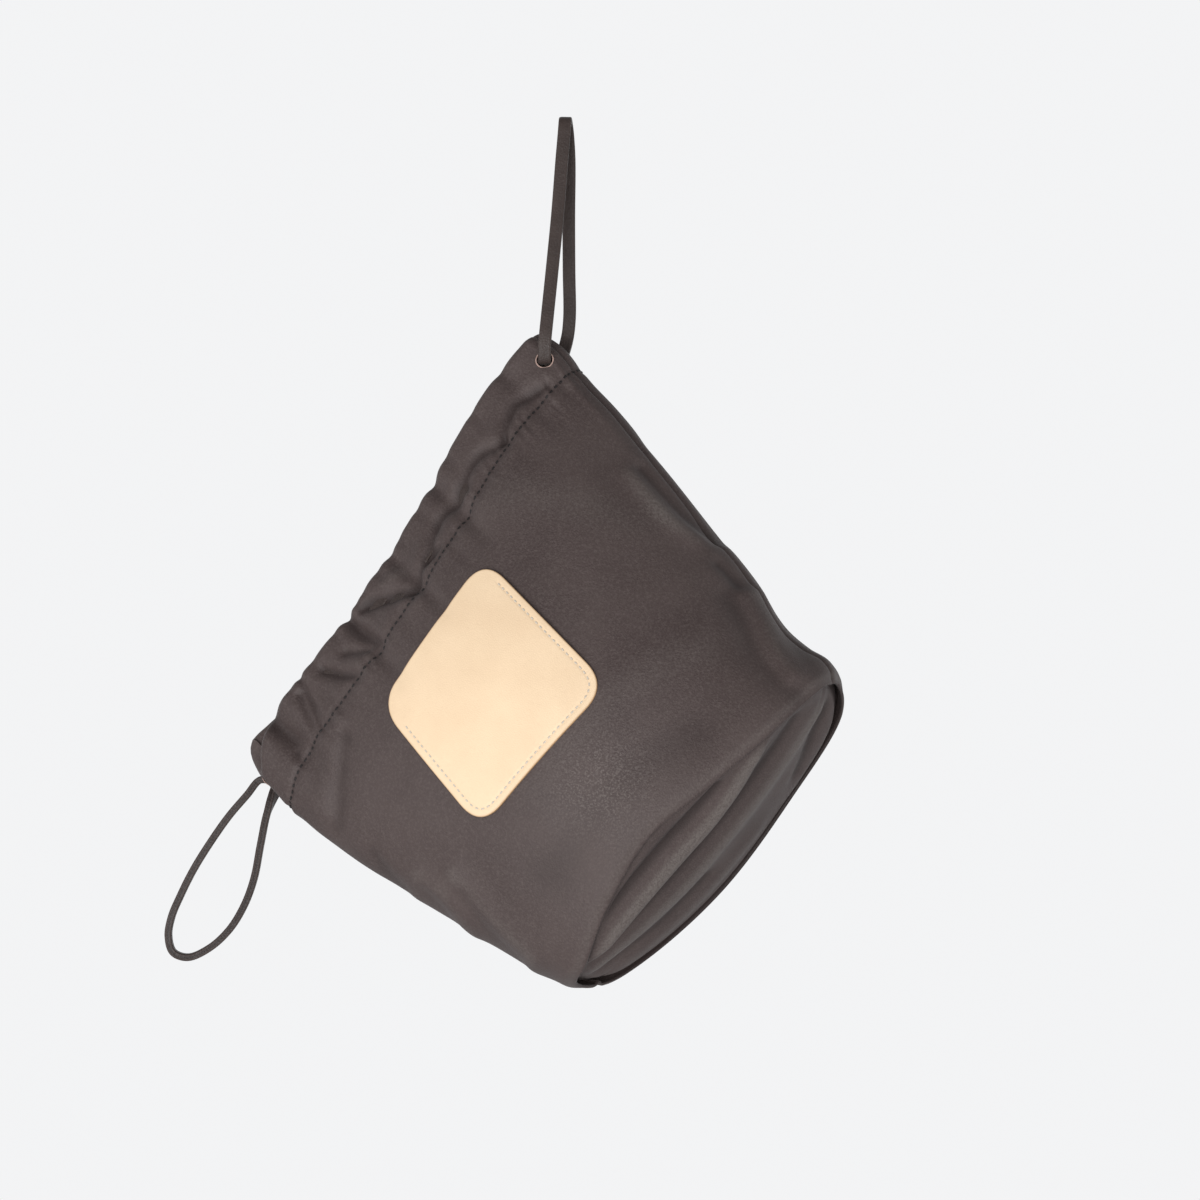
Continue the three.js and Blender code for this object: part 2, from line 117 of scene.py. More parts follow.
LEVELS = table(
    "up right left front back round",
    (0, 0.994, 1.073, 1.0, 1.0, 0.5),
    (0.05, 1.006, 1.092, 1.06, 1.0, 0.52),
    (0.1, 0.973, 1.116, 1.115, 0.995, 0.55),
    (0.175, 0.951, 1.13, 1.19, 1.005, 0.58),
    (0.3, 0.989, 1.153, 1.285, 1.0, 0.62),
    (0.45, 0.988, 1.175, 1.42, 0.99, 0.68),
    (0.6, 0.999, 1.189, 1.555, 0.98, 0.74),
    (0.75, 1.009, 1.189, 1.6, 0.99, 0.8),
    (0.86, 0.996, 1.17, 1.47, 0.97, 0.85),
    (0.93, 1.004, 1.152, 1.185, 0.94, 0.9),
    (1, 0.97, 1.128, 1.07, 0.94, 0.95),
)
BASE_EDGE = table(
    "turn lift",
    (0, 0.063),
    (0.08, 0.056),
    (0.16, 0.05),
    (0.22, 0.066),
    (0.28, 0.096),
    (0.34, 0.048),
    (0.42, -0.03),
    (0.5, -0.021),
    (0.6, -0.065),
    (0.72, -0.082),
    (0.83, -0.026),
    (0.92, 0.01),
    (1, 0.063),
)
MOUTH_LINE = table(
    "at rise",
    (-1.15, -0.123),
    (-0.95, -0.093),
    (-0.7, -0.078),
    (-0.45, -0.062),
    (-0.2, -0.04),
    (0.1, -0.007),
    (0.4, 0.038),
    (0.7, 0.074),
    (1, 0.087),
)
END_FOLD = table(
    "turn rise",
    (0, 0),
    (0.35, 0),
    (0.396, -0.01),
    (0.427, -0.12),
    (0.46, -0.24),
    (0.487, -0.26),
    (0.51, -0.1),
    (0.537, 0.17),
    (0.566, 0.17),
    (0.599, 0.05),
    (0.64, 0),
    (1, 0),
)
FRONT_GATHERS = table(
    "at width depth",
    (0.74, 0.2, 0.06),
    (0.22, 0.16, 0.1),
    (-0.11, 0.15, 0.1),
    (-0.42, 0.18, 0.11),
    (-0.92, 0.2, 0.11),
)
BACK_GATHERS = table(
    "at width depth",
    (0.6, 0.2, 0.07),
    (0.15, 0.18, 0.08),
    (-0.3, 0.18, 0.08),
    (-0.7, 0.2, 0.07),
)
PATCH_CORNERS = table("across up", (0.448, 0.55), (0.421, -0.478), (-0.574, -0.492), (-0.492, 0.414))


# Folds: a line of places that it runs along, how wide it is to each side, and how far it stands out, or
# sinks in where that is negative. The walls' lines are given by x and z, the casing's by x and the
# distance below the mouth's edge, and the base's by x and y.
WALL_FOLDS = [
    ([(96, 140), (94, 111), (95.6, 98), (97, 93)], 3.2, -1.9),
    ([(91, 140), (88, 112), (90, 97)], 4.5, 1.1),
    ([(89, 82), (89, 68)], 2.6, -1.4),
    ([(89, 62), (85, 49), (81, 41), (77.5, 34), (75, 20)], 4.5, 1.7),
    ([(83, 66), (78, 52), (73, 40), (71, 12)], 6, -1.3),
    ([(92, 50), (88, 38), (84, 16)], 4.5, -0.9),
    ([(-85, 159), (-104, 147), (-119, 137)], 5, 0.8),
    ([(-86, 152), (-103, 138.8), (-118, 127)], 5, -1.3),
    ([(-116, 106), (-118.7, 95), (-119, 86)], 3.6, -1.2),
    ([(-107, 82), (-106.8, 64), (-111, 49)], 5, 1.2),
    ([(-112, 76), (-112, 64), (-115, 54)], 3.8, -1.2),
    ([(-95, 70), (-97.9, 48.7), (-98.4, 20)], 5, 1.4),
    ([(-101, 60), (-103, 46), (-103.5, 24)], 4.2, -1.3),
    ([(-64, 34), (-20, 42), (25, 30)], 16, -1.2),
    ([(40, 178), (62, 150), (78, 118)], 18, 1.2),
    ([(-40, 60), (10, 66), (50, 58)], 18, 1),
]
CASING_FOLDS = [
    ([(93, 24), (87, 21), (78, 17.5), (72.5, 18.5), (66, 21), (62, 24)], 2.8, -2),
    ([(60, 24), (48.8, 16.7), (40, 16), (30.4, 16.3)], 2.8, -2),
    ([(34, 20), (15.8, 15.4), (8, 17), (-0.8, 20.5)], 2.8, -2.1),
    ([(6, 24), (-8, 21), (-16.9, 25)], 2.4, -2),
    ([(-17, 25), (-24, 18), (-34, 9.9), (-40, 6)], 3, -2.7),
    ([(-14, 12), (-24, 10)], 4, 1),
    ([(-47.8, 5), (-47, 12.2), (-44.5, 25)], 2.4, -2),
    ([(-72.4, 9), (-67, 19), (-62.7, 26)], 2.4, -2),
    ([(-59, 13), (-51.3, 21)], 2.2, -1.6),
    ([(-83, 4), (-87, 16), (-90.5, 25)], 1.8, -1.7),
    ([(-88, 7), (-92, 18), (-95, 25)], 1.8, -1.7),
    ([(-106, 4), (-106, 17)], 5, -1.8),
    ([(-108.8, 22), (-109.5, 27)], 2, -1.3),
]
BASE_FOLDS = [
    ([(-88, -30), (-58, -29.5), (-26, -30), (-3, -30), (17.5, -35), (50, -50)], 6, 3.4),
    ([(-84, -41), (-50, -41), (-15, -41), (15, -46)], 4.5, -2.6),
    ([(-85, -20), (-45, -17), (-10, -16), (30, -20), (60, -26)], 6, -1.9),
    ([(-87, -8), (-60, -2), (-20, 2), (30, -2), (70, -8)], 9, 2),
    ([(-80, 6), (-55.5, 18), (-20, 22)], 6, -1.8),
    ([(-70, 22), (-35, 34), (10, 36)], 8, 1.5),
    ([(84, 6), (65, 12), (45, 30)], 6, -2),
]
BACK_FOLDS = [
    ([(100, 150), (85, 120), (80, 90)], 6, -1.6),
    ([(-105, 130), (-85, 108), (-80, 80)], 6, -1.5),
    ([(-60, 46), (-20, 38), (30, 44)], 10, 1.5),
    ([(88, 60), (80, 40), (70, 26)], 4, -1.4),
    ([(-95, 62), (-92, 40), (-84, 24)], 4, -1.4),
]
# Beside a fold the leather gives way a little: by how much, how far off and how widely, against the fold
FOLD_ECHO = 0.18
FOLD_ECHO_PLACE = 2.3
FOLD_ECHO_WIDTH = 1.3
FOLD_STEPS = 4

# How sharply the folds pass from front to back and from wall to casing, and how the stitches hold them down
FRONT_BLEND = 3
CASING_BLEND = 6
SEAM_HOLD = 0.7
SEAM_HOLD_WIDTH = 2.5

# Scallops of the mouth's edge between its gathers, by x
SCALLOPS = (84, 61, 38, 24, 11, -5.5, -22, -34, -47, -57, -73, -90, -108)
SCALLOP_WIDTH = 3.2
SCALLOP_DEPTH = 1.1
SCALLOP_REACH = 9

# Short puckers on both sides of the casing's stitches, and long faint wrinkles below them
PUCKER_SEED = 11
PUCKER_COUNT = 84
PUCKER_SPREAD = 2.5
PUCKER_WIDTHS = (1.1, 2.4)
PUCKER_LENGTHS = (3, 8)
PUCKER_HEIGHTS = (0.25, 0.75)
WRINKLE_COUNT = 46
WRINKLE_WIDTHS = (1.6, 4)
WRINKLE_LENGTHS = (12, 38)
WRINKLE_HEIGHTS = (0.15, 0.5)


def smooth_step(value):
    v = np.clip(value, 0, 1)
    return v * v * (3 - 2 * v)


def bump(distance, width):
    return np.exp(-((distance / width) ** 2))


def lerp(a, b, share):
    return a + (b - a) * share


def dot(a, b):
    return (a * b).sum(-1)


def unit(v):
    return v / np.linalg.norm(v, axis=-1, keepdims=True)


def column(rows, along, key, wanted):
    """A column of a table at places along it, on one smooth curve through its rows."""
    at, value = rows[along], rows[key]
    slope = np.gradient(value, at)
    slope[1:-1] = (value[2:] - value[:-2]) / (at[2:] - at[:-2])
    i = np.searchsorted(at[1:-1], wanted)
    step, rise = at[i + 1] - at[i], value[i + 1] - value[i]
    share = (wanted - at[i]) / step
    bend, bend_end = slope[i] * step - rise, rise - slope[i + 1] * step
    curve = share * (1 - share) * ((1 - share) * bend + share * bend_end)
    return value[i] + share * rise + curve


def mouth_edge(x):
    return BAG_HEIGHT * (1 + column(MOUTH_LINE, "at", "rise", x / (MOUTH_WIDTH / 2)))


def body_point(angle, up):
    """The smooth body without its folds, at angles round it and levels."""
    half_width = lerp(BASE_WIDTH, MOUTH_WIDTH, up) / 2
    half_depth = lerp(BASE_DEPTH, MOUTH_DEPTH, up) / 2
    right = column(LEVELS, "up", "right", up) * half_width
    left = column(LEVELS, "up", "left", up) * half_width
    in_front = np.sin(angle) > 0
    front, back = column(LEVELS, "up", "front", up), column(LEVELS, "up", "back", up)
    reach = np.where(in_front, front, back) * half_depth
    across, half = np.cos(angle), (right + left) / 2
    x = (right - left) / 2 + half * across
    short_of = np.maximum(SIDE_RADIUS - half * (1 - np.abs(across)), 0)
    cap = np.sqrt(SIDE_RADIUS**2 - short_of**2)
    full = np.abs(np.sin(angle)) ** (2 * column(LEVELS, "up", "round", up))
    out = cap + (reach - SIDE_RADIUS) * full
    turn = np.mod(angle / FULL_TURN, 1)
    bottom = BASE_DEPTH * column(BASE_EDGE, "turn", "lift", turn)
    folded = smooth_step((up - END_FOLD_START) / (1 - END_FOLD_START))
    rise = MOUTH_DEPTH * column(END_FOLD, "turn", "rise", turn)
    z = lerp(bottom, mouth_edge(x), up) + rise * folded
    return np.stack([x, np.where(in_front, -out, out), z], -1)


STEP = 1e-3


def around(angle, up):
    return (body_point(angle + STEP, up) - body_point(angle - STEP, up)) / (2 * STEP)


def upward(angle, up):
    return (body_point(angle, up + STEP) - body_point(angle, up - STEP)) / (2 * STEP)


def outward(angle, up):
    return -unit(np.cross(around(angle, up), upward(angle, up)))


def wall_height(angle):
    top = body_point(angle, np.ones_like(angle))
    bottom = body_point(angle, np.zeros_like(angle))
    return top[..., 2] - bottom[..., 2]


def level_below(angle, distance):
    return 1 - distance / wall_height(angle)


def relief(angle, up):
    """How far the leather stands out from the smooth body."""
    body = body_point(angle, up)
    below = (1 - up) * wall_height(angle)
    in_casing = smooth_step(1 - (below - CASING_DEPTH) / CASING_DEPTH)
    out = -STITCH_DIP * bump(below - CASING_DEPTH, STITCH_DIP_WIDTH)
    in_front = np.sin(angle) > 0
    for gathers, here in ((FRONT_GATHERS, in_front), (BACK_GATHERS, ~in_front)):
        for at, width, depth in zip(*gathers.values()):
            distance = body[..., 0] - at * MOUTH_WIDTH / 2
            out = out - here * in_casing * depth * CASING_DEPTH * bump(distance, width * CASING_DEPTH)
    out = out - LIP_TUCK * bump(up * BAG_HEIGHT, LIP_HEIGHT)
    turned = np.mod(angle, FULL_TURN)
    for seam in (RIGHT_SEAM, LEFT_SEAM, RIGHT_SEAM + FULL_TURN):
        distance = (turned - seam) * np.linalg.norm(around(seam + 0 * up, up), axis=-1)
        out = out - SEAM_DIP * bump(distance, SEAM_DIP_WIDTH)
    return out


def layer_point(angle, up, depth):
    angle, up = np.broadcast_arrays(np.asarray(angle, float), np.asarray(up, float))
    lift = relief(angle, up) - depth
    return body_point(angle, up) + outward(angle, up) * np.asarray(lift)[..., None]


def smooth_path(points, per_step):
    """A centripetal Catmull-Rom curve through points, with the share of the way of each of its points."""
    p = np.array(points, float)
    p = np.vstack([2 * p[0] - p[1], p, 2 * p[-1] - p[-2]])
    gaps = np.linalg.norm(np.diff(p, axis=0), axis=1) ** 0.5
    t = np.concatenate([[0], np.cumsum(gaps)])
    out, stops = [], []
    for i in range(1, len(p) - 2):
        for share in np.arange(per_step) / per_step:
            s = lerp(t[i], t[i + 1], share)
            a = [lerp(p[k], p[k + 1], (s - t[k]) / (t[k + 1] - t[k])) for k in (i - 1, i, i + 1)]
            b = [lerp(a[k], a[k + 1], (s - t[i - 1 + k]) / (t[i + 1 + k] - t[i - 1 + k])) for k in (0, 1)]
            out.append(lerp(b[0], b[1], (s - t[i]) / (t[i + 1] - t[i])))
            stops.append(i - 1 + share)
    out.append(p[-2])
    stops.append(len(points) - 1)
    return np.array(out), np.array(stops)


def line_distance(x, y, line):
    """How far places in a plane lie from a line through points."""
    best = np.full(np.shape(x), np.inf)
    for (ax, ay), (bx, by) in zip(line[:-1], line[1:]):
        dx, dy = bx - ax, by - ay
        share = np.clip(((x - ax) * dx + (y - ay) * dy) / (dx * dx + dy * dy), 0, 1)
        best = np.minimum(best, np.hypot(x - ax - share * dx, y - ay - share * dy))
    return best


def fold_relief(x, y, folds):
    """Folds with softly rounded sides, each with a slight rise or dip beside it."""
    out = np.zeros(np.shape(x))
    for line, width, height in folds:
        distance = line_distance(x, y, smooth_path(line, FOLD_STEPS)[0])
        echo = bump(distance - FOLD_ECHO_PLACE * width, FOLD_ECHO_WIDTH * width)
        out += height * (bump(distance, width) - FOLD_ECHO * echo)
    return out


def random_puckers():
    """Puckers and wrinkles round the casing: angle, distance below the edge, width, length and height."""
    draw = np.random.default_rng(PUCKER_SEED)
    puckers = np.stack(
        [
            draw.uniform(0, FULL_TURN, PUCKER_COUNT),
            CASING_DEPTH + draw.normal(0, PUCKER_SPREAD, PUCKER_COUNT),
            draw.uniform(*PUCKER_WIDTHS, PUCKER_COUNT),
            draw.uniform(*PUCKER_LENGTHS, PUCKER_COUNT),
            draw.uniform(*PUCKER_HEIGHTS, PUCKER_COUNT) * draw.choice([-1, 1], PUCKER_COUNT),
        ],
        -1,
    )
    wrinkles = np.stack(
        [
            draw.uniform(0, FULL_TURN, WRINKLE_COUNT),
            np.full(WRINKLE_COUNT, CASING_DEPTH),
            draw.uniform(*WRINKLE_WIDTHS, WRINKLE_COUNT),
            draw.uniform(*WRINKLE_LENGTHS, WRINKLE_COUNT),
            draw.uniform(*WRINKLE_HEIGHTS, WRINKLE_COUNT) * draw.choice([-1, 1], WRINKLE_COUNT),
        ],
        -1,
    )
    return np.concatenate([puckers, wrinkles])


def fine_relief(angle, up):
    """The folds, puckers and scallops on top of the relief that the solids have."""
    body = body_point(angle, up)
    x, z = body[..., 0], body[..., 2]
    below = (1 - up) * wall_height(angle)
    front = smooth_step(0.5 + FRONT_BLEND * np.sin(angle))
    in_casing = smooth_step((CASING_DEPTH + CASING_BLEND - below) / CASING_BLEND)
    out = front * fold_relief(x, z, WALL_FOLDS) + (1 - front) * fold_relief(x, z, BACK_FOLDS)
    held = SEAM_HOLD * bump(below - CASING_DEPTH, SEAM_HOLD_WIDTH)
    out = out * (1 - in_casing) + front * fold_relief(x, below, CASING_FOLDS) * (1 - held)
    for at in SCALLOPS:
        out = out - SCALLOP_DEPTH * bump(x - at, SCALLOP_WIDTH) * bump(below, SCALLOP_REACH)
    turned = np.mod(angle, FULL_TURN)
    pace = np.linalg.norm(around(angle, up), axis=-1)
    for at, middle, width, length, height in random_puckers():
        aside = (np.mod(turned - at + math.pi, FULL_TURN) - math.pi) * pace
        out = out + height * bump(aside, width) * bump(below - middle, length)
    for seam in (RIGHT_SEAM, LEFT_SEAM, RIGHT_SEAM + FULL_TURN):
        out = out - SEAM_CREASE * bump((turned - seam) * pace, SEAM_CREASE_WIDTH)
    return out


def skin_point(angle, up, depth):
    """A point of the finely folded leather."""
    angle, up = np.broadcast_arrays(np.asarray(angle, float), np.asarray(up, float))
    lift = fine_relief(angle, up)
    return layer_point(angle, up, depth) + outward(angle, up) * lift[..., None]


ANGLE_STEP = 0.002


def angle_from_side(side, distance, up):
    """The angle at a distance round the mouth's side from its side line."""
    angle, left = side, abs(distance)
    while left > 0:
        angle += math.copysign(ANGLE_STEP, distance)
        left -= np.linalg.norm(around(np.array(angle), np.array(up))) * ANGLE_STEP
    return angle


HOLE_LEVEL = 1 - HOLE_DEPTH / BAG_HEIGHT
HOLES = {
    "right_front": angle_from_side(0, RIGHT_FRONT_HOLE, HOLE_LEVEL),
    "right_rear": angle_from_side(FULL_TURN, -RIGHT_REAR_HOLE, HOLE_LEVEL),
    "left_front": angle_from_side(math.pi, LEFT_FRONT_HOLE, HOLE_LEVEL),
    "left_rear": angle_from_side(math.pi, LEFT_REAR_HOLE, HOLE_LEVEL),
}


def hole_place(name, depth):
    angle = np.array(HOLES[name])
    return layer_point(angle, level_below(angle, HOLE_DEPTH), depth)


def turn_about_y(angle):
    c, s = math.cos(angle), math.sin(angle)
    return np.array([[c, 0, s], [0, 1, 0], [-s, 0, c]])


def turn_about_x(angle):
    c, s = math.cos(angle), math.sin(angle)
    return np.array([[1, 0, 0], [0, c, -s], [0, s, c]])


HANGING = turn_about_y(-HANG_ANGLE) @ turn_about_x(-LEAN_ANGLE)
BETWEEN_HOLES = (hole_place("right_front", 0) + hole_place("right_rear", 0)) / 2
BAG_PLACE = HOLES_FROM_HOOK - HANGING @ BETWEEN_HOLES


def place(points):
    """Points of the bag's own frame, as the bag hangs, in millimetres."""
    return points @ HANGING.T + BAG_PLACE


def mesh_object(name, points, faces, material, nodes):
    """A smooth mesh from points in millimetres, which rides on the body and stands for CAD nodes."""
    mesh = bpy.data.meshes.new(name)
    mesh.from_pydata((np.asarray(points) * MM).tolist(), [], [tuple(map(int, f)) for f in faces])
    mesh.validate()
    mesh.shade_smooth()
    mesh.materials.append(material)
    piece = bpy.data.objects.new(name, mesh)
    bpy.context.scene.collection.objects.link(piece)
    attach(piece, "root")
    if nodes:
        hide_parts(*nodes)
    return piece


def mark(piece, name, values):
    """Gives each point of a mesh a number, for its material."""
    attribute = piece.data.attributes.new(name, "FLOAT", "POINT")
    attribute.data.foreach_set("value", np.asarray(values, np.float32).ravel())


def apply_modifiers(piece):
    graph = bpy.context.evaluated_depsgraph_get()
    mesh = bpy.data.meshes.new_from_object(piece.evaluated_get(graph))
    piece.modifiers.clear()
    piece.data = mesh


def grid_faces(columns, rows):
    """Quads between columns of rows, the rows closed on themselves."""
    i = np.arange(columns - 1)[:, None]
    j = np.arange(rows)[None, :]
    a = i * rows + j
    b = i * rows + (j + 1) % rows
    quads = np.stack([a, b, b + rows, a + rows], -1)
    return quads.reshape(-1, 4).tolist()


# The materials' colours
LEATHER_DEEP = (0.05, 0.0345, 0.0325)
LEATHER_LIGHT = (0.066, 0.0475, 0.0445)
LEATHER_FLECK = (0.1, 0.078, 0.073)
LEATHER_WEAR_HIGHLIGHT = (0.12, 0.102, 0.094)
LEATHER_SHADE = (0.021, 0.013, 0.012)
LEATHER_SCUFF_SHEEN = (0.16, 0.135, 0.125)
PATCH_DEEP = (0.76, 0.57, 0.38)
PATCH_LIGHT = (0.81, 0.62, 0.42)
PATCH_PORE = (0.68, 0.49, 0.31)
PATCH_EDGE = (0.4, 0.24, 0.12)
LACE_DEEP = (0.032, 0.021, 0.018)
LACE_LIGHT = (0.045, 0.031, 0.027)
LACE_GROOVE_SHADE = (0.014, 0.009, 0.008)
RAW_DEEP = (0.3, 0.2, 0.17)
RAW_LIGHT = (0.5, 0.36, 0.31)
DARK_THREAD = (0.014, 0.011, 0.011)
PALE_THREAD = (0.62, 0.55, 0.46)
STAGE = (0.85, 0.855, 0.86)

# The sizes of their patterns and the depths of their relief, in metres
LEATHER_CLOUD_SIZE = 0.035
LEATHER_FLECK_SIZE = 0.0012
LEATHER_SCUFF_SHEEN_SIZE = 0.0009
LEATHER_GRAIN_SIZE = 0.0009
LEATHER_CREASE_SIZE = 0.0022
GRAIN_FADE_SIZE = 0.012
LEATHER_RELIEF = 0.00016
PATCH_CLOUD_SIZE = 0.02
PATCH_PORE_SIZE = 0.0013
PATCH_GRAIN_SIZE = 0.0006
PATCH_WAVE_SIZE = 0.004
PATCH_RELIEF = 0.00005
LACE_CLOUD_SIZE = 0.012
LACE_RELIEF = 0.00012
THREAD_TWIST_SIZE = 0.0004
THREAD_RELIEF = 0.00005
FIBRE_SIZE = 0.0005
FIBRE_RELIEF = 0.0001
STAGE_CLOUD_SIZE = 0.4
STAGE_RELIEF = 0.0001

# What all of them share, and how much darker a thread's and the floor's shades are
SPECULAR = 0.34
SHEEN_ROUGHNESS = 0.45
THREAD_SHADE = 0.75
STAGE_SHADE = 0.98


class Nodes:
    """A material's node tree, built a node at a time. Lengths are in metres."""

    def __init__(self, name):
        self.material = bpy.data.materials.new(name)
        self.material.use_nodes = True
        self.tree = self.material.node_tree
        self.shader = self.tree.nodes["Principled BSDF"]
        self.here = self.add("ShaderNodeTexCoord").outputs["Object"]

    def add(self, kind, **settings):
        node = self.tree.nodes.new(kind)
        for key, value in settings.items():
            setattr(node, key, value)
        return node

    def put(self, socket, value):
        if isinstance(value, bpy.types.NodeSocket):
            self.tree.links.new(value, socket)
        else:
            socket.default_value = value

    def noise(self, size, detail=3, rough=0.5):
        """Noise with features of about a size, in metres, from 0 to 1."""
        node = self.add("ShaderNodeTexNoise")
        self.put(node.inputs["Vector"], self.here)
        self.put(node.inputs["Scale"], 1 / size)
        self.put(node.inputs["Detail"], detail)
        self.put(node.inputs["Roughness"], rough)
        return node.outputs["Fac"]

    def cells(self, size):
        """Distance to the middles of cells of about a size, in metres."""
        node = self.add("ShaderNodeTexVoronoi")
        self.put(node.inputs["Vector"], self.here)
        self.put(node.inputs["Scale"], 1 / size)
        return node.outputs["Distance"]

    def span(self, value, low, high, to_low=0.0, to_high=1.0):
        """A value's range from low to high, stretched to another."""
        node = self.add("ShaderNodeMapRange")
        names = ("Value", "From Min", "From Max", "To Min", "To Max")
        for name, number in zip(names, (value, low, high, to_low, to_high)):
            self.put(node.inputs[name], number)
        return node.outputs["Result"]

    def math(self, operation, a, b):
        node = self.add("ShaderNodeMath", operation=operation)
        self.put(node.inputs[0], a)
        self.put(node.inputs[1], b)
        return node.outputs[0]

    def blend(self, share, a, b):
        node = self.add("ShaderNodeMix", data_type="RGBA")
        self.put(node.inputs["Factor"], share)
        self.put(node.inputs["A"], a if isinstance(a, bpy.types.NodeSocket) else (*a, 1))
        self.put(node.inputs["B"], b if isinstance(b, bpy.types.NodeSocket) else (*b, 1))
        return node.outputs["Result"]

    def marked(self, name):
        """A number that the mesh gives at each point."""
        return self.add("ShaderNodeAttribute", attribute_name=name).outputs["Fac"]

    def finish(self, color, roughness, height, depth, sheen=0.0):
        """Sets the shader, with a relief of a depth in metres."""
        self.put(self.shader.inputs["Base Color"], color)
        self.put(self.shader.inputs["Roughness"], roughness)
        self.shader.inputs["Specular IOR Level"].default_value = SPECULAR
        self.shader.inputs["Sheen Weight"].default_value = sheen
        self.shader.inputs["Sheen Roughness"].default_value = SHEEN_ROUGHNESS
        bump_node = self.add("ShaderNodeBump")
        self.put(bump_node.inputs["Height"], height)
        bump_node.inputs["Distance"].default_value = depth
        bump_node.inputs["Strength"].default_value = 1
        self.put(self.shader.inputs["Normal"], bump_node.outputs["Normal"])
        return self.material


def dark_leather_material():
    """Soft dark brown leather: a fine pebbled grain, cloudy tone, ridges lightened partly by wear and
    partly by a painted highlight, painted shade in hollows, and a scuffed place on the front with a painted
    sheen.
    """
    n = Nodes("dark_leather")
    cloud = n.noise(LEATHER_CLOUD_SIZE, 3)
    fleck = n.noise(LEATHER_FLECK_SIZE, 3, 0.7)
    color = n.blend(n.span(cloud, 0.3, 0.7), LEATHER_DEEP, LEATHER_LIGHT)
    color = n.blend(n.span(fleck, 0.45, 0.75, 0, 0.7), color, LEATHER_FLECK)
    # Ridges and the lip lighter: partly wear, partly a painted highlight
    wear_and_highlight = n.math("MULTIPLY", n.span(n.marked("wear_and_highlight"), 0, 1), n.span(fleck, 0.35, 0.6, 0.35, 1))
    color = n.blend(wear_and_highlight, color, LEATHER_WEAR_HIGHLIGHT)
    # Painted shade: darker in the folds' valleys, beside the casing's stitches, on the tucked inner lip and
    # round the base's rim
    color = n.blend(n.span(n.marked("sunk"), 0, 1, 0, 0.75), color, LEATHER_SHADE)
    # A scuffed place on the front, speckled lighter: partly scuffs, partly a painted sheen
    spots = n.span(n.noise(LEATHER_SCUFF_SHEEN_SIZE, 2, 0.7), 0.5, 0.62)
    scuff_and_sheen = n.math("MULTIPLY", n.marked("scuff_and_sheen"), spots)
    color = n.blend(n.math("MULTIPLY", scuff_and_sheen, 0.5), color, LEATHER_SCUFF_SHEEN)
    roughness = n.math("ADD", n.span(cloud, 0.3, 0.7, 0.5, 0.58), n.span(fleck, 0.3, 0.7, 0, 0.12))
    fade = n.span(n.noise(GRAIN_FADE_SIZE, 2), 0.3, 0.7, 0.4, 1)
    grain = n.math("MULTIPLY", n.cells(LEATHER_GRAIN_SIZE), fade)
    height = n.math("ADD", grain, n.math("MULTIPLY", n.noise(LEATHER_CREASE_SIZE, 5, 0.7), 0.9))
    return n.finish(color, roughness, height, LEATHER_RELIEF, 0.03)


def natural_leather_material():
    """Pale tan leather with a close grain, faint clouds, and a darker burnished edge."""
    n = Nodes("natural_leather")
    cloud = n.noise(PATCH_CLOUD_SIZE, 4)
    color = n.blend(n.span(cloud, 0.3, 0.7), PATCH_DEEP, PATCH_LIGHT)
    pores = n.noise(PATCH_PORE_SIZE, 3, 0.7)
    color = n.blend(n.span(pores, 0.56, 0.75, 0, 0.35), color, PATCH_PORE)
    color = n.blend(n.marked("edge"), color, PATCH_EDGE)
    roughness = n.span(cloud, 0.3, 0.7, 0.5, 0.6)
    waves = n.math("MULTIPLY", n.noise(PATCH_WAVE_SIZE, 4, 0.6), 1.2)
    height = n.math("ADD", n.cells(PATCH_GRAIN_SIZE), waves)
    return n.finish(color, roughness, height, PATCH_RELIEF, 0.05)


def lace_leather_material():
    """Dark folded leather laces, a little smoother and browner than the walls."""
    n = Nodes("lace_leather")
    cloud = n.noise(LACE_CLOUD_SIZE, 4)
    color = n.blend(n.span(cloud, 0.3, 0.7), LACE_DEEP, LACE_LIGHT)
    # Painted shade in the stitched groove and in the slits between the layers, given by the edge mark
    color = n.blend(n.marked("edge"), color, LACE_GROOVE_SHADE)
    fleck = n.noise(LEATHER_FLECK_SIZE, 3, 0.65)
    roughness = n.span(fleck, 0.3, 0.7, 0.42, 0.58)
    height = n.math("ADD", n.cells(LEATHER_GRAIN_SIZE), n.noise(LEATHER_CREASE_SIZE, 4, 0.6))
    return n.finish(color, roughness, height, LACE_RELIEF, 0.1)


def thread_material(name, color):
    """Twisted thread of one colour."""
    n = Nodes(name)
    twist = n.noise(THREAD_TWIST_SIZE, 2)
    shade = n.blend(n.span(twist, 0.3, 0.7), tuple(THREAD_SHADE * c for c in color), color)
    return n.finish(shade, 0.6, twist, THREAD_RELIEF)


def raw_edge_material():
    """The pale flesh of the leather, where a hole is punched."""
    n = Nodes("raw_edge")
    fibre = n.noise(FIBRE_SIZE, 3, 0.7)
    color = n.blend(n.span(fibre, 0.3, 0.7), RAW_DEEP, RAW_LIGHT)
    return n.finish(color, 0.8, fibre, FIBRE_RELIEF)


def floor_material():
    """A pale, even floor."""
    n = Nodes("floor")
    cloud = n.noise(STAGE_CLOUD_SIZE, 2)
    shade = n.blend(n.span(cloud, 0.3, 0.7), tuple(STAGE_SHADE * c for c in STAGE), STAGE)
    return n.finish(shade, 0.8, cloud, STAGE_RELIEF)


dark_leather = dark_leather_material()
natural_leather = natural_leather_material()
lace_leather = lace_leather_material()
dark_thread = thread_material("dark_thread", DARK_THREAD)
pale_thread = thread_material("pale_thread", PALE_THREAD)
raw_edge = raw_edge_material()

# The camera stands where the photograph was taken from
CAMERA_PLACE = (16.09, -1950, -222)
CAMERA_LENS = 125.4
CAMERA_SIGHT = 20


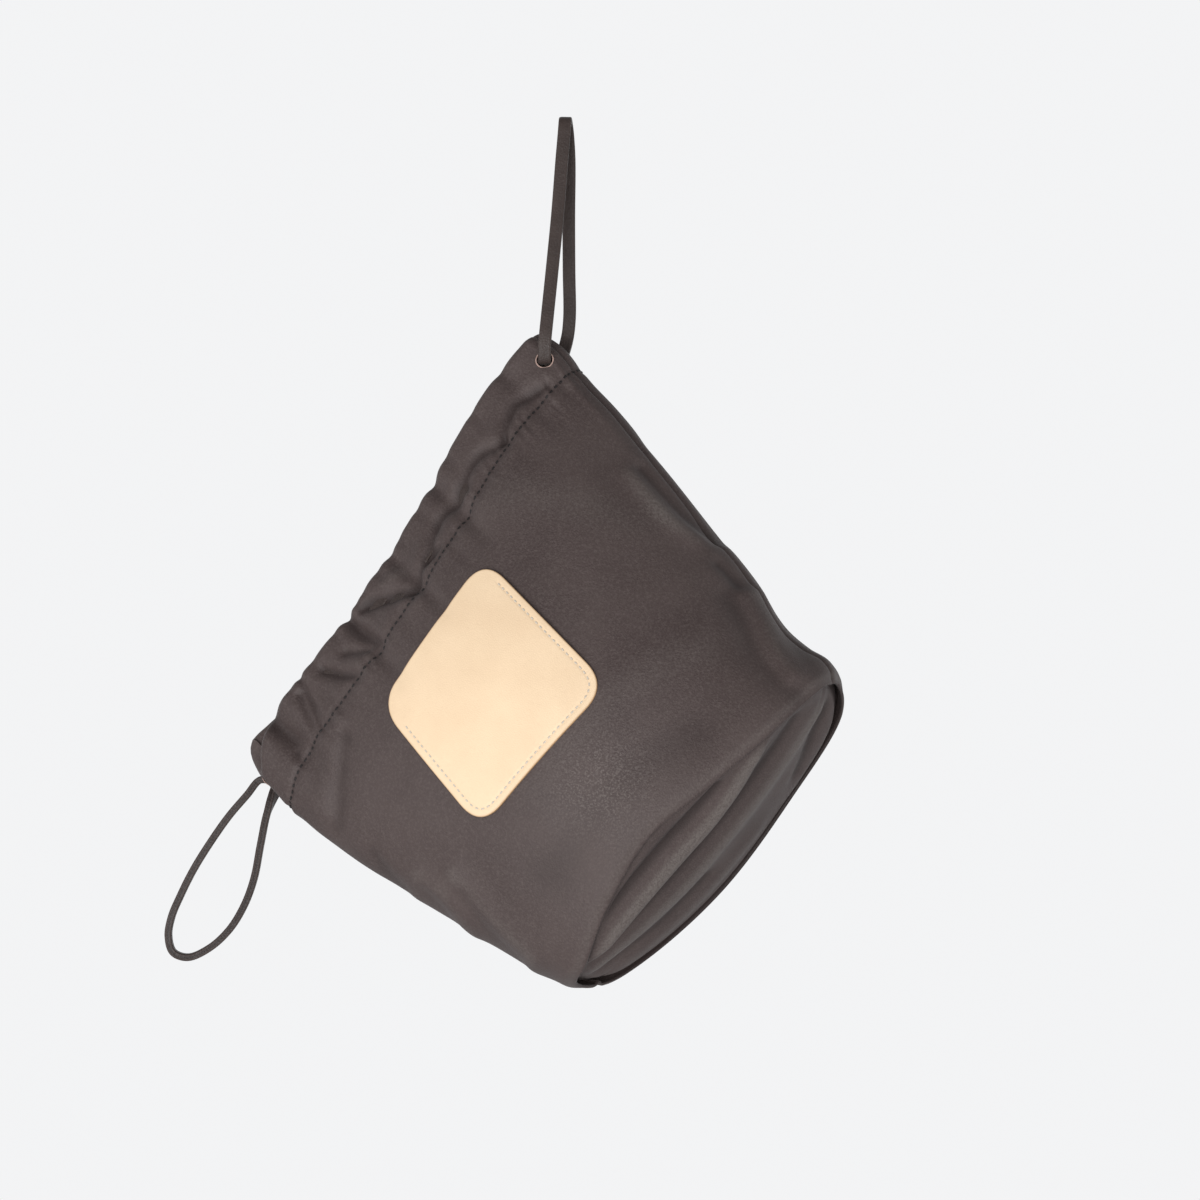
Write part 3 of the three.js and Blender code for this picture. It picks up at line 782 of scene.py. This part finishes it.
def make_camera():
    data = bpy.data.cameras.new("camera")
    data.lens = CAMERA_LENS
    data.clip_end = CAMERA_SIGHT
    camera = bpy.data.objects.new("camera", data)
    camera.location = Vector(CAMERA_PLACE) * MM
    camera.rotation_euler = (math.pi / 2, 0, 0)
    bpy.context.scene.collection.objects.link(camera)
    bpy.context.scene.camera = camera


make_camera()


STITCH_SIDES = 8
STITCH_RINGS = 5
STITCH_LOOK = 0.5


def stitches(name, path, outs, pitch, size, material=dark_thread):
    """A row of equal stitches along a path, in one mesh. size is a stitch's length, width and height."""
    gaps = np.linalg.norm(np.diff(path, axis=0), axis=1)
    far = np.concatenate([[0], np.cumsum(gaps)])
    count = int(far[-1] / pitch)
    at = (np.arange(count) + 0.5) * far[-1] / count
    middle = np.stack([np.interp(at, far, path[:, k]) for k in range(3)], -1)
    ahead = np.stack([np.interp(at + STITCH_LOOK, far, path[:, k]) for k in range(3)], -1)
    behind = np.stack([np.interp(at - STITCH_LOOK, far, path[:, k]) for k in range(3)], -1)
    out = unit(np.stack([np.interp(at, far, outs[:, k]) for k in range(3)], -1))
    along = unit(ahead - behind)
    side = unit(np.cross(along, out))
    turn = np.arange(STITCH_SIDES) * FULL_TURN / STITCH_SIDES
    bend = np.linspace(-1, 1, STITCH_RINGS + 2)[1:-1] * math.pi / 2
    length, width, height = size
    x = length / 2 * np.sin(bend)[:, None] + 0 * turn
    y = width / 2 * np.sqrt(np.cos(bend))[:, None] * np.cos(turn)
    z = height * np.sqrt(np.cos(bend))[:, None] * np.sin(turn)
    shape = np.stack([x, y, z], -1).reshape(-1, 3)
    frames = np.stack([along, side, out], 1)
    points = middle[:, None] + shape @ frames
    each = grid_faces(STITCH_RINGS, STITCH_SIDES)
    each += [list(range(STITCH_SIDES)), list(range(len(shape) - STITCH_SIDES, len(shape)))[::-1]]
    faces = [[k * len(shape) + v for v in face] for k in range(count) for face in each]
    mesh_object(name, points.reshape(-1, 3), faces, material, [])


def bag_point(name, depth):
    return place(hole_place(name, depth))


# The laces' free stretches, as points in the row's frame, in millimetres, each with the way it faces
FLAT, EDGE_ON = (1, 0, 0), (0, 1, 0)
HANGING_LOOP = [
    (bag_point("right_front", LACE_START), FLAT),
    (bag_point("right_front", 0), FLAT),
    ((-9.6, -16.4, -105.2), FLAT),
    ((-9.2, -16.6, -100), FLAT),
    ((-8.5, -15.6, -92.8), FLAT),
    ((-6, -11.8, -67.9), FLAT),
    ((-3.6, -8.6, -42.7), FLAT),
    ((-1.7, -5.6, -17.6), FLAT),
    ((-0.8, -4.4, -7), FLAT),
    ((-0.4, -3.6, -1.9), FLAT),
    ((-0.2, -2.5, 0.6), FLAT),
    ((0, 0, 1.7), FLAT),
    ((0.3, 2.5, 0.6), FLAT),
    ((0.7, 3.6, -1.9), FLAT),
    ((1.2, 4.4, -7), FLAT),
    ((1.7, 5.2, -17.6), FLAT),
    ((1.5, 6.4, -42.7), FLAT),
    ((1.6, 7.6, -67.9), FLAT),
    ((1.8, 8.6, -90), FLAT),
    ((0.6, 9.2, -100), FLAT),
    (bag_point("right_rear", 0), FLAT),
    (bag_point("right_rear", LACE_START), FLAT),
]
FREE_LOOP = [
    (bag_point("left_front", LACE_START), EDGE_ON),
    (bag_point("left_front", 0), EDGE_ON),
    ((-142.2, -5.4, -305.8), EDGE_ON),
    ((-148, -6, -312.6), EDGE_ON),
    ((-156.4, -5.8, -322.4), EDGE_ON),
    ((-164.7, -5.5, -334.1), EDGE_ON),
    ((-173, -5.2, -347.4), EDGE_ON),
    ((-178.9, -4.9, -359.1), EDGE_ON),
    ((-183.3, -4.5, -369.5), EDGE_ON),
    ((-184.8, -4, -378.5), EDGE_ON),
    ((-182.6, -3.4, -386), EDGE_ON),
    ((-175.8, -2.9, -388.4), EDGE_ON),
    ((-166, -2.3, -384.2), EDGE_ON),
    ((-156.8, -1.6, -375.8), EDGE_ON),
    ((-149.9, -0.8, -364.6), EDGE_ON),
    ((-145.3, 0.2, -351.9), EDGE_ON),
    ((-142.3, 1.2, -336), EDGE_ON),
    ((-139.2, 2.2, -321), EDGE_ON),
    ((-134.5, 3.2, -309), (0.7, 0.7, 0)),
    ((-130, 2.6, -300.5), FLAT),
    (bag_point("left_rear", 0), FLAT),
    (bag_point("left_rear", LACE_START), FLAT),
]

LACE_SIDES = 48
LACE_STEPS = 8
LACE_RUN_STEPS = 240
LACE_SQUARE = 0.36
LACE_GROOVE = 0.9
LACE_GROOVE_WIDTH = 0.45
LACE_GROOVE_DEPTH = 0.28
LACE_SLIT_WIDTH = 0.32
LACE_SLIT_DEPTH = 0.5
LACE_SLIT_FROM = 0.4
LACE_STITCH_PITCH = 2.3
LACE_STITCH = (1.5, 0.55, 0.2)


def lace_section():
    """The lace's section: two layers with round edges, a stitched groove on each face and slits between."""
    turn = np.arange(LACE_SIDES) * FULL_TURN / LACE_SIDES
    across = np.sign(np.cos(turn)) * np.abs(np.cos(turn)) ** LACE_SQUARE * LACE_WIDTH / 2
    out = np.sign(np.sin(turn)) * np.abs(np.sin(turn)) ** LACE_SQUARE * LACE_THICKNESS / 2
    groove = LACE_GROOVE_DEPTH * bump(across - LACE_GROOVE, LACE_GROOVE_WIDTH)
    slit = LACE_SLIT_DEPTH * bump(out, LACE_SLIT_WIDTH) * (np.abs(across) > LACE_SLIT_FROM * LACE_WIDTH)
    # How deep each point lies in the groove or a slit, for the painted shade there
    sunk = np.clip(groove / LACE_GROOVE_DEPTH + slit / LACE_SLIT_DEPTH, 0, 1)
    return np.stack([across - np.sign(across) * slit, out - np.sign(out) * groove], -1), sunk


def strip(name, centres, wides, thicks, nodes):
    """A closed strip of the lace's section along centres."""
    section, sunk = lace_section()
    across, out = section[None, :, :1], section[None, :, 1:]
    rings = centres[:, None] + across * wides[:, None] + out * thicks[:, None]
    faces = grid_faces(len(rings), LACE_SIDES)
    last = (len(rings) - 1) * LACE_SIDES
    faces += [list(range(LACE_SIDES))[::-1], list(range(last, last + LACE_SIDES))]
    piece = mesh_object(name, rings.reshape(-1, 3), faces, lace_leather, nodes)
    # On a lace the edge mark is the painted shade of its groove and slits
    mark(piece, "edge", np.broadcast_to(sunk, rings.shape[:2]))
    return piece


def lace_loop(name, stops, node):
    """A lace's free stretch through its stops, with a row of stitches on each face."""
    points = np.array([p for p, _ in stops])
    faced = np.array([w for _, w in stops], float)
    centres, at = smooth_path(points, LACE_STEPS)
    along = unit(np.gradient(centres, axis=0))
    low = np.minimum(at.astype(int), len(stops) - 2)
    wide = lerp(faced[low], faced[low + 1], (at - low)[:, None])
    wide = unit(wide - along * dot(wide, along)[:, None])
    thick = np.cross(along, wide)
    piece = strip(name, centres, wide, thick, [node])
    for side, face in ((1, "outer"), (-1, "inner")):
        lift = side * (LACE_THICKNESS / 2 - LACE_GROOVE_DEPTH)
        seam = centres + LACE_GROOVE * wide + lift * thick
        row = f"{name}_{face}_stitches"
        stitches(row, seam, side * thick, LACE_STITCH_PITCH, LACE_STITCH)


def lace_run(name, start, end, lane, node):
    """The stretch of a lace round inside the casing, between two holes."""
    angle = np.linspace(start, end, LACE_RUN_STEPS)
    middle = LEATHER + TUNNEL_GAP / 2
    up = level_below(angle, lane)
    centres = place(layer_point(angle, up, middle))
    wide = unit(place(layer_point(angle, level_below(angle, lane + 1), middle)) - centres)
    thick = unit(place(layer_point(angle, up, middle - 1)) - centres)
    strip(name, centres, wide, thick, [node])


LOW_LANE = HOLE_DEPTH + LANE_SPACING / 2
HIGH_LANE = HOLE_DEPTH - LANE_SPACING / 2
LEFT_FRONT_AGAIN = HOLES["left_front"] + FULL_TURN

lace_loop("hanging_lace", HANGING_LOOP, "hanging_loop")
lace_loop("free_lace", FREE_LOOP, "free_loop")
lace_run("hanging_lace_inside", HOLES["right_front"], HOLES["right_rear"], LOW_LANE, "hanging_run")
lace_run("free_lace_inside", HOLES["left_rear"], LEFT_FRONT_AGAIN, HIGH_LANE, "free_run")

# The walls
PANEL_COLUMNS = 350
WALL_ROWS = 130
CASING_ROWS = 34
FOLD_ROWS = 9
HEM_ROWS = 16
INNER_STEP = 3
FOLD_RADIUS = LEATHER + TUNNEL_GAP / 2
HOLE_SIDES = 48
RIM_SIDES = 8
RIM_RADIUS = 0.34
RIM_FLATNESS = 0.6
SEAM_STEPS = 600
STITCH_PITCH = 3.3
STITCH_SIZE = (2, 1.25, 0.4)
STITCH_LIFT = 0.02

# Where folds are lighter with wear and a painted highlight, or darker with painted shade, by how far they
# stand out; the painted highlight along the lip, the painted shade beside the stitches, and the scuffed
# place in front with its painted sheen
WEAR_HIGHLIGHT_FROM = 0.5
WEAR_HIGHLIGHT_SPAN = 2.2
EDGE_WEAR = 0.1
LIP_HIGHLIGHT = 0.35
STITCH_SHADE = 0.35
STITCH_SHADE_WIDTH = 1.1
PAINTED_SHADE_FROM = 0.3
PAINTED_SHADE_SPAN = 2.4
SCUFF_SHEEN_PLACE = (-18, 45)
SCUFF_SHEEN_SIZE = 26


def gap_below(below):
    """The tunnel's gap at a distance below the mouth's edge, closed down to its seam."""
    return lerp(SEAM_GAP, TUNNEL_GAP, smooth_step((CASING_DEPTH - below) / TUNNEL_RAMP))


def panel_path(angle, shift):
    """Rows of a panel's skin at angles: the level, the depth and the step up of each."""
    none = 0 * angle
    casing_top = level_below(angle, CASING_DEPTH)
    wall = [(share * casing_top, shift + none, none) for share in np.linspace(0, 1, WALL_ROWS)[:-1]]
    belows = np.linspace(CASING_DEPTH, FOLD_RADIUS, CASING_ROWS)
    casing = [(level_below(angle, below), shift + none, none) for below in belows]
    fold = []
    for turn in np.linspace(0, math.pi, FOLD_ROWS)[1:-1]:
        depth = FOLD_RADIUS - (FOLD_RADIUS - shift) * math.cos(turn)
        over = (FOLD_RADIUS - shift) * math.sin(turn)
        fold.append((level_below(angle, FOLD_RADIUS), depth + none, over + none))
    hem = []
    for below in np.linspace(FOLD_RADIUS, CASING_DEPTH + HEM_TURN, HEM_ROWS):
        depth = 2 * LEATHER + gap_below(below) - shift
        hem.append((level_below(angle, below), depth + none, none))
    return wall + casing + fold + hem


def make_panel(name, start, end, node):
    """A wall of the bag with its casing turned in, between two seams."""
    share = np.linspace(0, 1, PANEL_COLUMNS + 1)
    angle = lerp(start, end, share)
    outer = panel_path(angle, 0)
    inner = panel_path(angle, LEATHER)[::-1]
    rows = outer + inner[:1] + inner[1:-1:INNER_STEP] + inner[-1:]
    up = np.stack([r[0] for r in rows], 1)
    depth = np.stack([r[1] for r in rows], 1)
    over = np.stack([r[2] for r in rows], 1)
    short = SEAM_GAP / 2 / np.linalg.norm(around(np.array(start), np.array(0.5)))
    angles = np.broadcast_to(lerp(start + short, end - short, share)[:, None], up.shape)
    points = skin_point(angles, up, depth) + unit(upward(angles, up)) * over[..., None]
    columns, count = up.shape
    faces = grid_faces(columns, count)
    last = (columns - 1) * count
    faces += cap(len(outer), count, 0)[::-1] + [f[::-1] for f in cap(len(outer), count, last)]
    piece = mesh_object(name, place(points.reshape(-1, 3)), faces, dark_leather, [node])
    lift = fine_relief(angles, up)
    body = body_point(angles, up)
    from_scuff_and_sheen = np.hypot(body[..., 0] - SCUFF_SHEEN_PLACE[0], body[..., 2] - SCUFF_SHEEN_PLACE[1])
    below = (1 - up) * wall_height(angles)
    lip = bump(up * BAG_HEIGHT - LIP_HEIGHT, LIP_HEIGHT / 2)
    # Lighter where folds stand out and along the lip: partly wear, partly a painted highlight; the mouth's
    # turned edge is lighter with wear
    wear_and_highlight = smooth_step((lift - WEAR_HIGHLIGHT_FROM) / WEAR_HIGHLIGHT_SPAN) + EDGE_WEAR * (over > 0) + LIP_HIGHLIGHT * lip
    mark(piece, "wear_and_highlight", wear_and_highlight)
    # Painted shade: along the casing's stitches, in the folds' valleys and on the inner face near the lower
    # edge
    sewn = STITCH_SHADE * bump(below - CASING_DEPTH, STITCH_SHADE_WIDTH)
    tucked = (depth > LEATHER / 2) * smooth_step(2 - up * BAG_HEIGHT / LIP_HEIGHT)
    sunk = np.maximum(smooth_step((-lift - PAINTED_SHADE_FROM) / PAINTED_SHADE_SPAN), sewn)
    mark(piece, "sunk", np.maximum(sunk, tucked))
    # Where the scuffed place with its painted sheen lies on the front
    mark(piece, "scuff_and_sheen", bump(from_scuff_and_sheen, SCUFF_SHEEN_SIZE) * (np.sin(angles) > 0))
    return piece


def punch(piece, names):
    """Round holes through the casing's outer wall, with the raw leather showing in them."""
    bm = bmesh.new()
    for name in names:
        angle = np.array(HOLES[name])
        middle = place(skin_point(angle, level_below(angle, HOLE_DEPTH), LEATHER / 2))
        out = HANGING @ outward(angle, level_below(angle, HOLE_DEPTH))
        turn = Vector(out).to_track_quat("Z", "Y").to_matrix().to_4x4()
        bmesh.ops.create_cone(
            bm,
            cap_ends=True,
            segments=HOLE_SIDES,
            radius1=HOLE_DIAMETER / 2 * MM,
            radius2=HOLE_DIAMETER / 2 * MM,
            depth=(LEATHER + TUNNEL_GAP) * MM,
            matrix=Matrix.Translation(Vector(middle) * MM) @ turn,
        )
    mesh = bpy.data.meshes.new("punch")
    bm.to_mesh(mesh)
    bm.free()
    mesh.materials.append(raw_edge)
    tool = bpy.data.objects.new("punch", mesh)
    bpy.context.scene.collection.objects.link(tool)
    cut = piece.modifiers.new("holes", "BOOLEAN")
    cut.operation = "DIFFERENCE"
    cut.solver = "EXACT"
    cut.material_mode = "TRANSFER"
    cut.object = tool
    apply_modifiers(piece)
    bpy.data.objects.remove(tool)


def hole_rims(name, holes):
    """The raw edges of punched holes, as thin rings."""
    turn = np.arange(HOLE_SIDES) * FULL_TURN / HOLE_SIDES
    tube = np.arange(RIM_SIDES) * FULL_TURN / RIM_SIDES
    points, faces = [], []
    ring_faces = np.array(grid_faces(HOLE_SIDES + 1, RIM_SIDES)) % (HOLE_SIDES * RIM_SIDES)
    for k, hole in enumerate(holes):
        angle = np.array(HOLES[hole])
        up = level_below(angle, HOLE_DEPTH)
        out = outward(angle, up)
        side = unit(around(angle, up))
        rise = np.cross(out, side)
        spoke = np.cos(turn)[:, None] * side + np.sin(turn)[:, None] * rise
        reach = HOLE_DIAMETER / 2 + RIM_RADIUS * np.cos(tube)[None, :, None]
        over = RIM_RADIUS * RIM_FLATNESS * np.sin(tube)[None, :, None] * out
        points.append((skin_point(angle, up, 0) + spoke[:, None] * reach + over).reshape(-1, 3))
        faces += (ring_faces + k * HOLE_SIDES * RIM_SIDES).tolist()
    mesh_object(name, place(np.concatenate(points)), faces, raw_edge, [])


def casing_stitches(name, start, end):
    """The stitches that hold the casing down, on the outer skin."""
    angle = np.linspace(start, end, SEAM_STEPS)
    up = level_below(angle, CASING_DEPTH)
    path = place(skin_point(angle, up, -STITCH_LIFT))
    stitches(name, path, outward(angle, up) @ HANGING.T, STITCH_PITCH, STITCH_SIZE)


def cap(outer, count, first):
    """Triangles that close a panel's end, between its outer rows and its inner ones."""
    faces = []
    i, j = 0, count - 1
    while i < outer - 1 or j > outer:
        far_out = i / (outer - 1)
        far_in = (count - 1 - j) / (count - 1 - outer)
        if far_out <= far_in and i < outer - 1 or j == outer:
            faces.append([first + i, first + i + 1, first + j])
            i += 1
        else:
            faces.append([first + i, first + j - 1, first + j])
            j -= 1
    return faces


front_wall = make_panel("front_wall", RIGHT_SEAM, LEFT_SEAM, "front_panel")
back_wall = make_panel("back_wall", LEFT_SEAM, RIGHT_SEAM + FULL_TURN, "back_panel")
punch(front_wall, ["right_front", "left_front"])
punch(back_wall, ["right_rear", "left_rear"])
hole_rims("hole_rims", list(HOLES))
casing_stitches("front_casing_stitches", RIGHT_SEAM, LEFT_SEAM)
casing_stitches("back_casing_stitches", LEFT_SEAM, RIGHT_SEAM + FULL_TURN)

# The base
BASE_COLUMNS = 360
BASE_RINGS = 64
BASE_CROWDING = 1.35
BASE_MIDDLE = 0.02
BASE_FOLD_FADE = 9
BASE_GROOVE = 2.8
BASE_GROOVE_WIDTH = 2.4
BASE_SHADE_WIDTH = 2


def plate(name, lower, upper, columns, material, node):
    """A closed plate from two faces, each an array of rings of points, the last of them small."""
    rings = len(lower)
    middles = [lower[-1].mean(0), upper[-1].mean(0)]
    points = np.concatenate([lower.reshape(-1, 3), upper.reshape(-1, 3), middles])
    side = rings * columns
    i = np.arange(columns)
    n = (i + 1) % columns
    faces = []
    for r in range(rings - 1):
        a, b, c, d = r * columns + i, r * columns + n, (r + 1) * columns + i, (r + 1) * columns + n
        faces += np.stack([a, c, d, b], -1).tolist()
        faces += np.stack([a + side, b + side, d + side, c + side], -1).tolist()
    faces += np.stack([i, n, n + side, i + side], -1).tolist()
    a, b = (rings - 1) * columns + i, (rings - 1) * columns + n
    middle = np.full(columns, 2 * side)
    faces += np.stack([a, middle, b], -1).tolist()
    faces += np.stack([a + side, b + side, middle + 1], -1).tolist()
    return mesh_object(name, place(points), faces, material, [node])


def make_base():
    """The base inside the walls' lower edge, sagging and creased."""
    angle = np.arange(BASE_COLUMNS) * FULL_TURN / BASE_COLUMNS
    rim = layer_point(angle, BASE_RECESS / BAG_HEIGHT, LEATHER + BASE_GAP)
    middle = rim.mean(0)
    tilt = np.linalg.lstsq(rim[:, :2] - middle[:2], rim[:, 2] - middle[2], rcond=None)[0]
    wave = rim[:, 2] - middle[2] - (rim[:, :2] - middle[:2]) @ tilt
    ring = 1 - (1 - BASE_MIDDLE) * np.linspace(0, 1, BASE_RINGS)[:, None] ** BASE_CROWDING
    face = middle + (rim - middle) * ring[..., None]
    face[..., 2] = middle[2] + (face[..., :2] - middle[:2]) @ tilt + wave * ring**3
    far = (1 - ring) * BASE_DEPTH / 2
    sag = BASE_SAG * (1 - ring**2) - BASE_GROOVE * bump(far, BASE_GROOVE_WIDTH)
    lift = fold_relief(face[..., 0], face[..., 1], BASE_FOLDS) * smooth_step(far / BASE_FOLD_FADE)
    face[..., 2] -= sag + lift
    upper = face + [0, 0, LEATHER]
    piece = plate("base", face, upper, BASE_COLUMNS, dark_leather, "base_panel")
    # The base's ridges lighter: partly wear, partly a painted highlight
    wear_and_highlight = smooth_step((lift - WEAR_HIGHLIGHT_FROM) / WEAR_HIGHLIGHT_SPAN)
    # Painted shade in the base's valleys and in a band round its rim
    sunk = np.maximum(smooth_step((-lift - PAINTED_SHADE_FROM) / PAINTED_SHADE_SPAN), bump(far, BASE_SHADE_WIDTH))
    mark(piece, "wear_and_highlight", np.concatenate([wear_and_highlight.ravel(), 0 * wear_and_highlight.ravel(), [0, 0]]))
    mark(piece, "sunk", np.concatenate([sunk.ravel(), 0 * sunk.ravel(), [0, 0]]))


make_base()

# The patch
PATCH_RINGS = 36
PATCH_MIDDLE = 0.03
PATCH_INSETS = np.array([0, 0.1, 0.25, 0.45, 0.7, 1.2, 2, 2.8, 3.4, 3.8, 4.2, 4.6, 5.2, 6])
PATCH_EDGE_RADIUS = 0.5
PATCH_SEAM = 3.6
PATCH_GROOVE = 0.25
PATCH_GROOVE_WIDTH = 0.55
PATCH_PITCH = 3
PATCH_STITCH = (1.8, 0.95, 0.35)
PATCH_CORNER_POINTS = 24
PATCH_SIDE_POINTS = 40
FRONT_TRIES = 12

# The stretch of the patch's edge that is sewn, as points of its outline
PATCH_SEWN = slice(22, 186)


def front_point(x, z, lift):
    """Places on the front wall from x and z in the bag's frame, standing off it by a lift."""
    x, z = np.broadcast_arrays(np.asarray(x, float), np.asarray(z, float))
    up = z / BAG_HEIGHT
    angle = np.full_like(up, math.pi / 2)
    for _ in range(FRONT_TRIES):
        up = up + (z - body_point(angle, up)[..., 2]) / BAG_HEIGHT
        pace = np.linalg.norm(around(np.full_like(up, math.pi / 2), up), axis=-1)
        angle = np.clip(angle + (body_point(angle, up)[..., 0] - x) / pace, RIGHT_SEAM, math.pi)
    return layer_point(angle, up, -lift)


def patch_outline():
    """The patch's edge in the bag's frame, as x and z, once round from its first corner."""
    corner = np.stack(
        [
            PATCH_X + PATCH_CORNERS["across"] * PATCH_WIDTH,
            PATCH_Z + PATCH_CORNERS["up"] * PATCH_HEIGHT,
        ],
        -1,
    )
    points = []
    for i in range(4):
        here, before, after = corner[i], corner[i - 1], corner[(i + 1) % 4]
        start = here + unit(before - here) * PATCH_RADIUS
        end = here + unit(after - here) * PATCH_RADIUS
        for t in np.linspace(0, 1, PATCH_CORNER_POINTS):
            points.append((1 - t) ** 2 * start + 2 * t * (1 - t) * here + t**2 * end)
        following = after + unit(here - after) * PATCH_RADIUS
        for t in np.linspace(0, 1, PATCH_SIDE_POINTS)[1:-1]:
            points.append(lerp(end, following, t))
    return np.array(points)


def inset(outline, distance):
    """A closed outline moved inwards."""
    along = unit(np.roll(outline, -1, 0) - np.roll(outline, 1, 0))
    return outline + distance * np.stack([along[:, 1], -along[:, 0]], -1)


def make_patch():
    """The patch pocket with its rounded edge, sunk seam and stitches."""
    outline = patch_outline()
    middle = np.array([PATCH_X, PATCH_Z])
    edge = np.array([inset(outline, distance) for distance in PATCH_INSETS])
    ring = np.linspace(1, PATCH_MIDDLE, PATCH_RINGS)[1:, None, None]
    spots = np.concatenate([edge, middle + (edge[-1] - middle) * ring])
    far = np.concatenate([PATCH_INSETS, np.full(PATCH_RINGS - 1, 2 * PATCH_INSETS[-1])])[:, None]
    short = np.clip(1 - far / PATCH_EDGE_RADIUS, 0, 1)
    sewn = np.zeros((1, len(outline)))
    sewn[:, PATCH_SEWN] = 1
    drop = PATCH_EDGE_RADIUS * (1 - np.sqrt(1 - short**2))
    drop = drop + PATCH_GROOVE * bump(far - PATCH_SEAM, PATCH_GROOVE_WIDTH) * sewn
    x, z = spots[..., 0], spots[..., 1]
    lower = front_point(x, z, PATCH_GAP)
    upper = front_point(x, z, PATCH_GAP + PATCH_THICKNESS - drop)
    piece = plate("patch", lower, upper, len(outline), natural_leather, "patch_pocket")
    dark = np.broadcast_to(bump(far, PATCH_EDGE_RADIUS), x.shape)
    mark(piece, "edge", np.concatenate([np.ones(dark.size), dark.ravel(), [0, 0]]))
    seam = inset(outline, PATCH_SEAM)[PATCH_SEWN]
    path = front_point(seam[:, 0], seam[:, 1], PATCH_GAP + PATCH_THICKNESS - PATCH_GROOVE)
    above = front_point(seam[:, 0], seam[:, 1], 2 * PATCH_THICKNESS)
    out = (above - path) @ HANGING.T
    stitches("patch_stitches", place(path), out, PATCH_PITCH, PATCH_STITCH, pale_thread)


make_patch()

# The floor and the lights, with places and sizes of lights in metres
FLOOR_DOWN = -1500
FLOOR_SIZE = 9000
ROOM_TINT = (0.985, 0.99, 1, 1)
CEILING_FALL = {"From Min": 0.2, "From Max": 0.75, "To Min": 0.91, "To Max": 0.25}
BAG_MIDDLE = Vector((0.03, -0.03, -0.25))
LIGHTS = [
    # name, place, size, power in watts
    ("window", (-0.7, -1.9, -0.75), 1.1, 31),
    ("side", (1.3, -1.2, -1.2), 0.8, 5),
]


def make_floor():
    bpy.ops.mesh.primitive_plane_add(size=FLOOR_SIZE * MM, location=(0, 0, FLOOR_DOWN * MM))
    floor = bpy.context.object
    floor.name = "floor"
    floor.data.materials.append(floor_material())


def area_light(name, location, size, power):
    """A soft light that faces the bag."""
    data = bpy.data.lights.new(name, "AREA")
    data.size = size
    data.energy = power
    light = bpy.data.objects.new(name, data)
    light.location = location
    light.rotation_euler = (BAG_MIDDLE - Vector(location)).to_track_quat("-Z", "Y").to_euler()
    bpy.context.scene.collection.objects.link(light)


make_floor()
for light in LIGHTS:
    area_light(*light)


def make_room():
    """Even light all round that falls off towards a darker ceiling."""
    world = bpy.data.worlds.new("room")
    world.use_nodes = True
    tree = world.node_tree
    here = tree.nodes.new("ShaderNodeTexCoord")
    split = tree.nodes.new("ShaderNodeSeparateXYZ")
    fall = tree.nodes.new("ShaderNodeMapRange")
    tree.links.new(here.outputs["Generated"], split.inputs["Vector"])
    tree.links.new(split.outputs["Z"], fall.inputs["Value"])
    for key, value in CEILING_FALL.items():
        fall.inputs[key].default_value = value
    tree.links.new(fall.outputs["Result"], tree.nodes["Background"].inputs["Strength"])
    tree.nodes["Background"].inputs["Color"].default_value = ROOM_TINT
    return world


bpy.context.scene.world = make_room()
bpy.context.scene.view_settings.view_transform = "Standard"
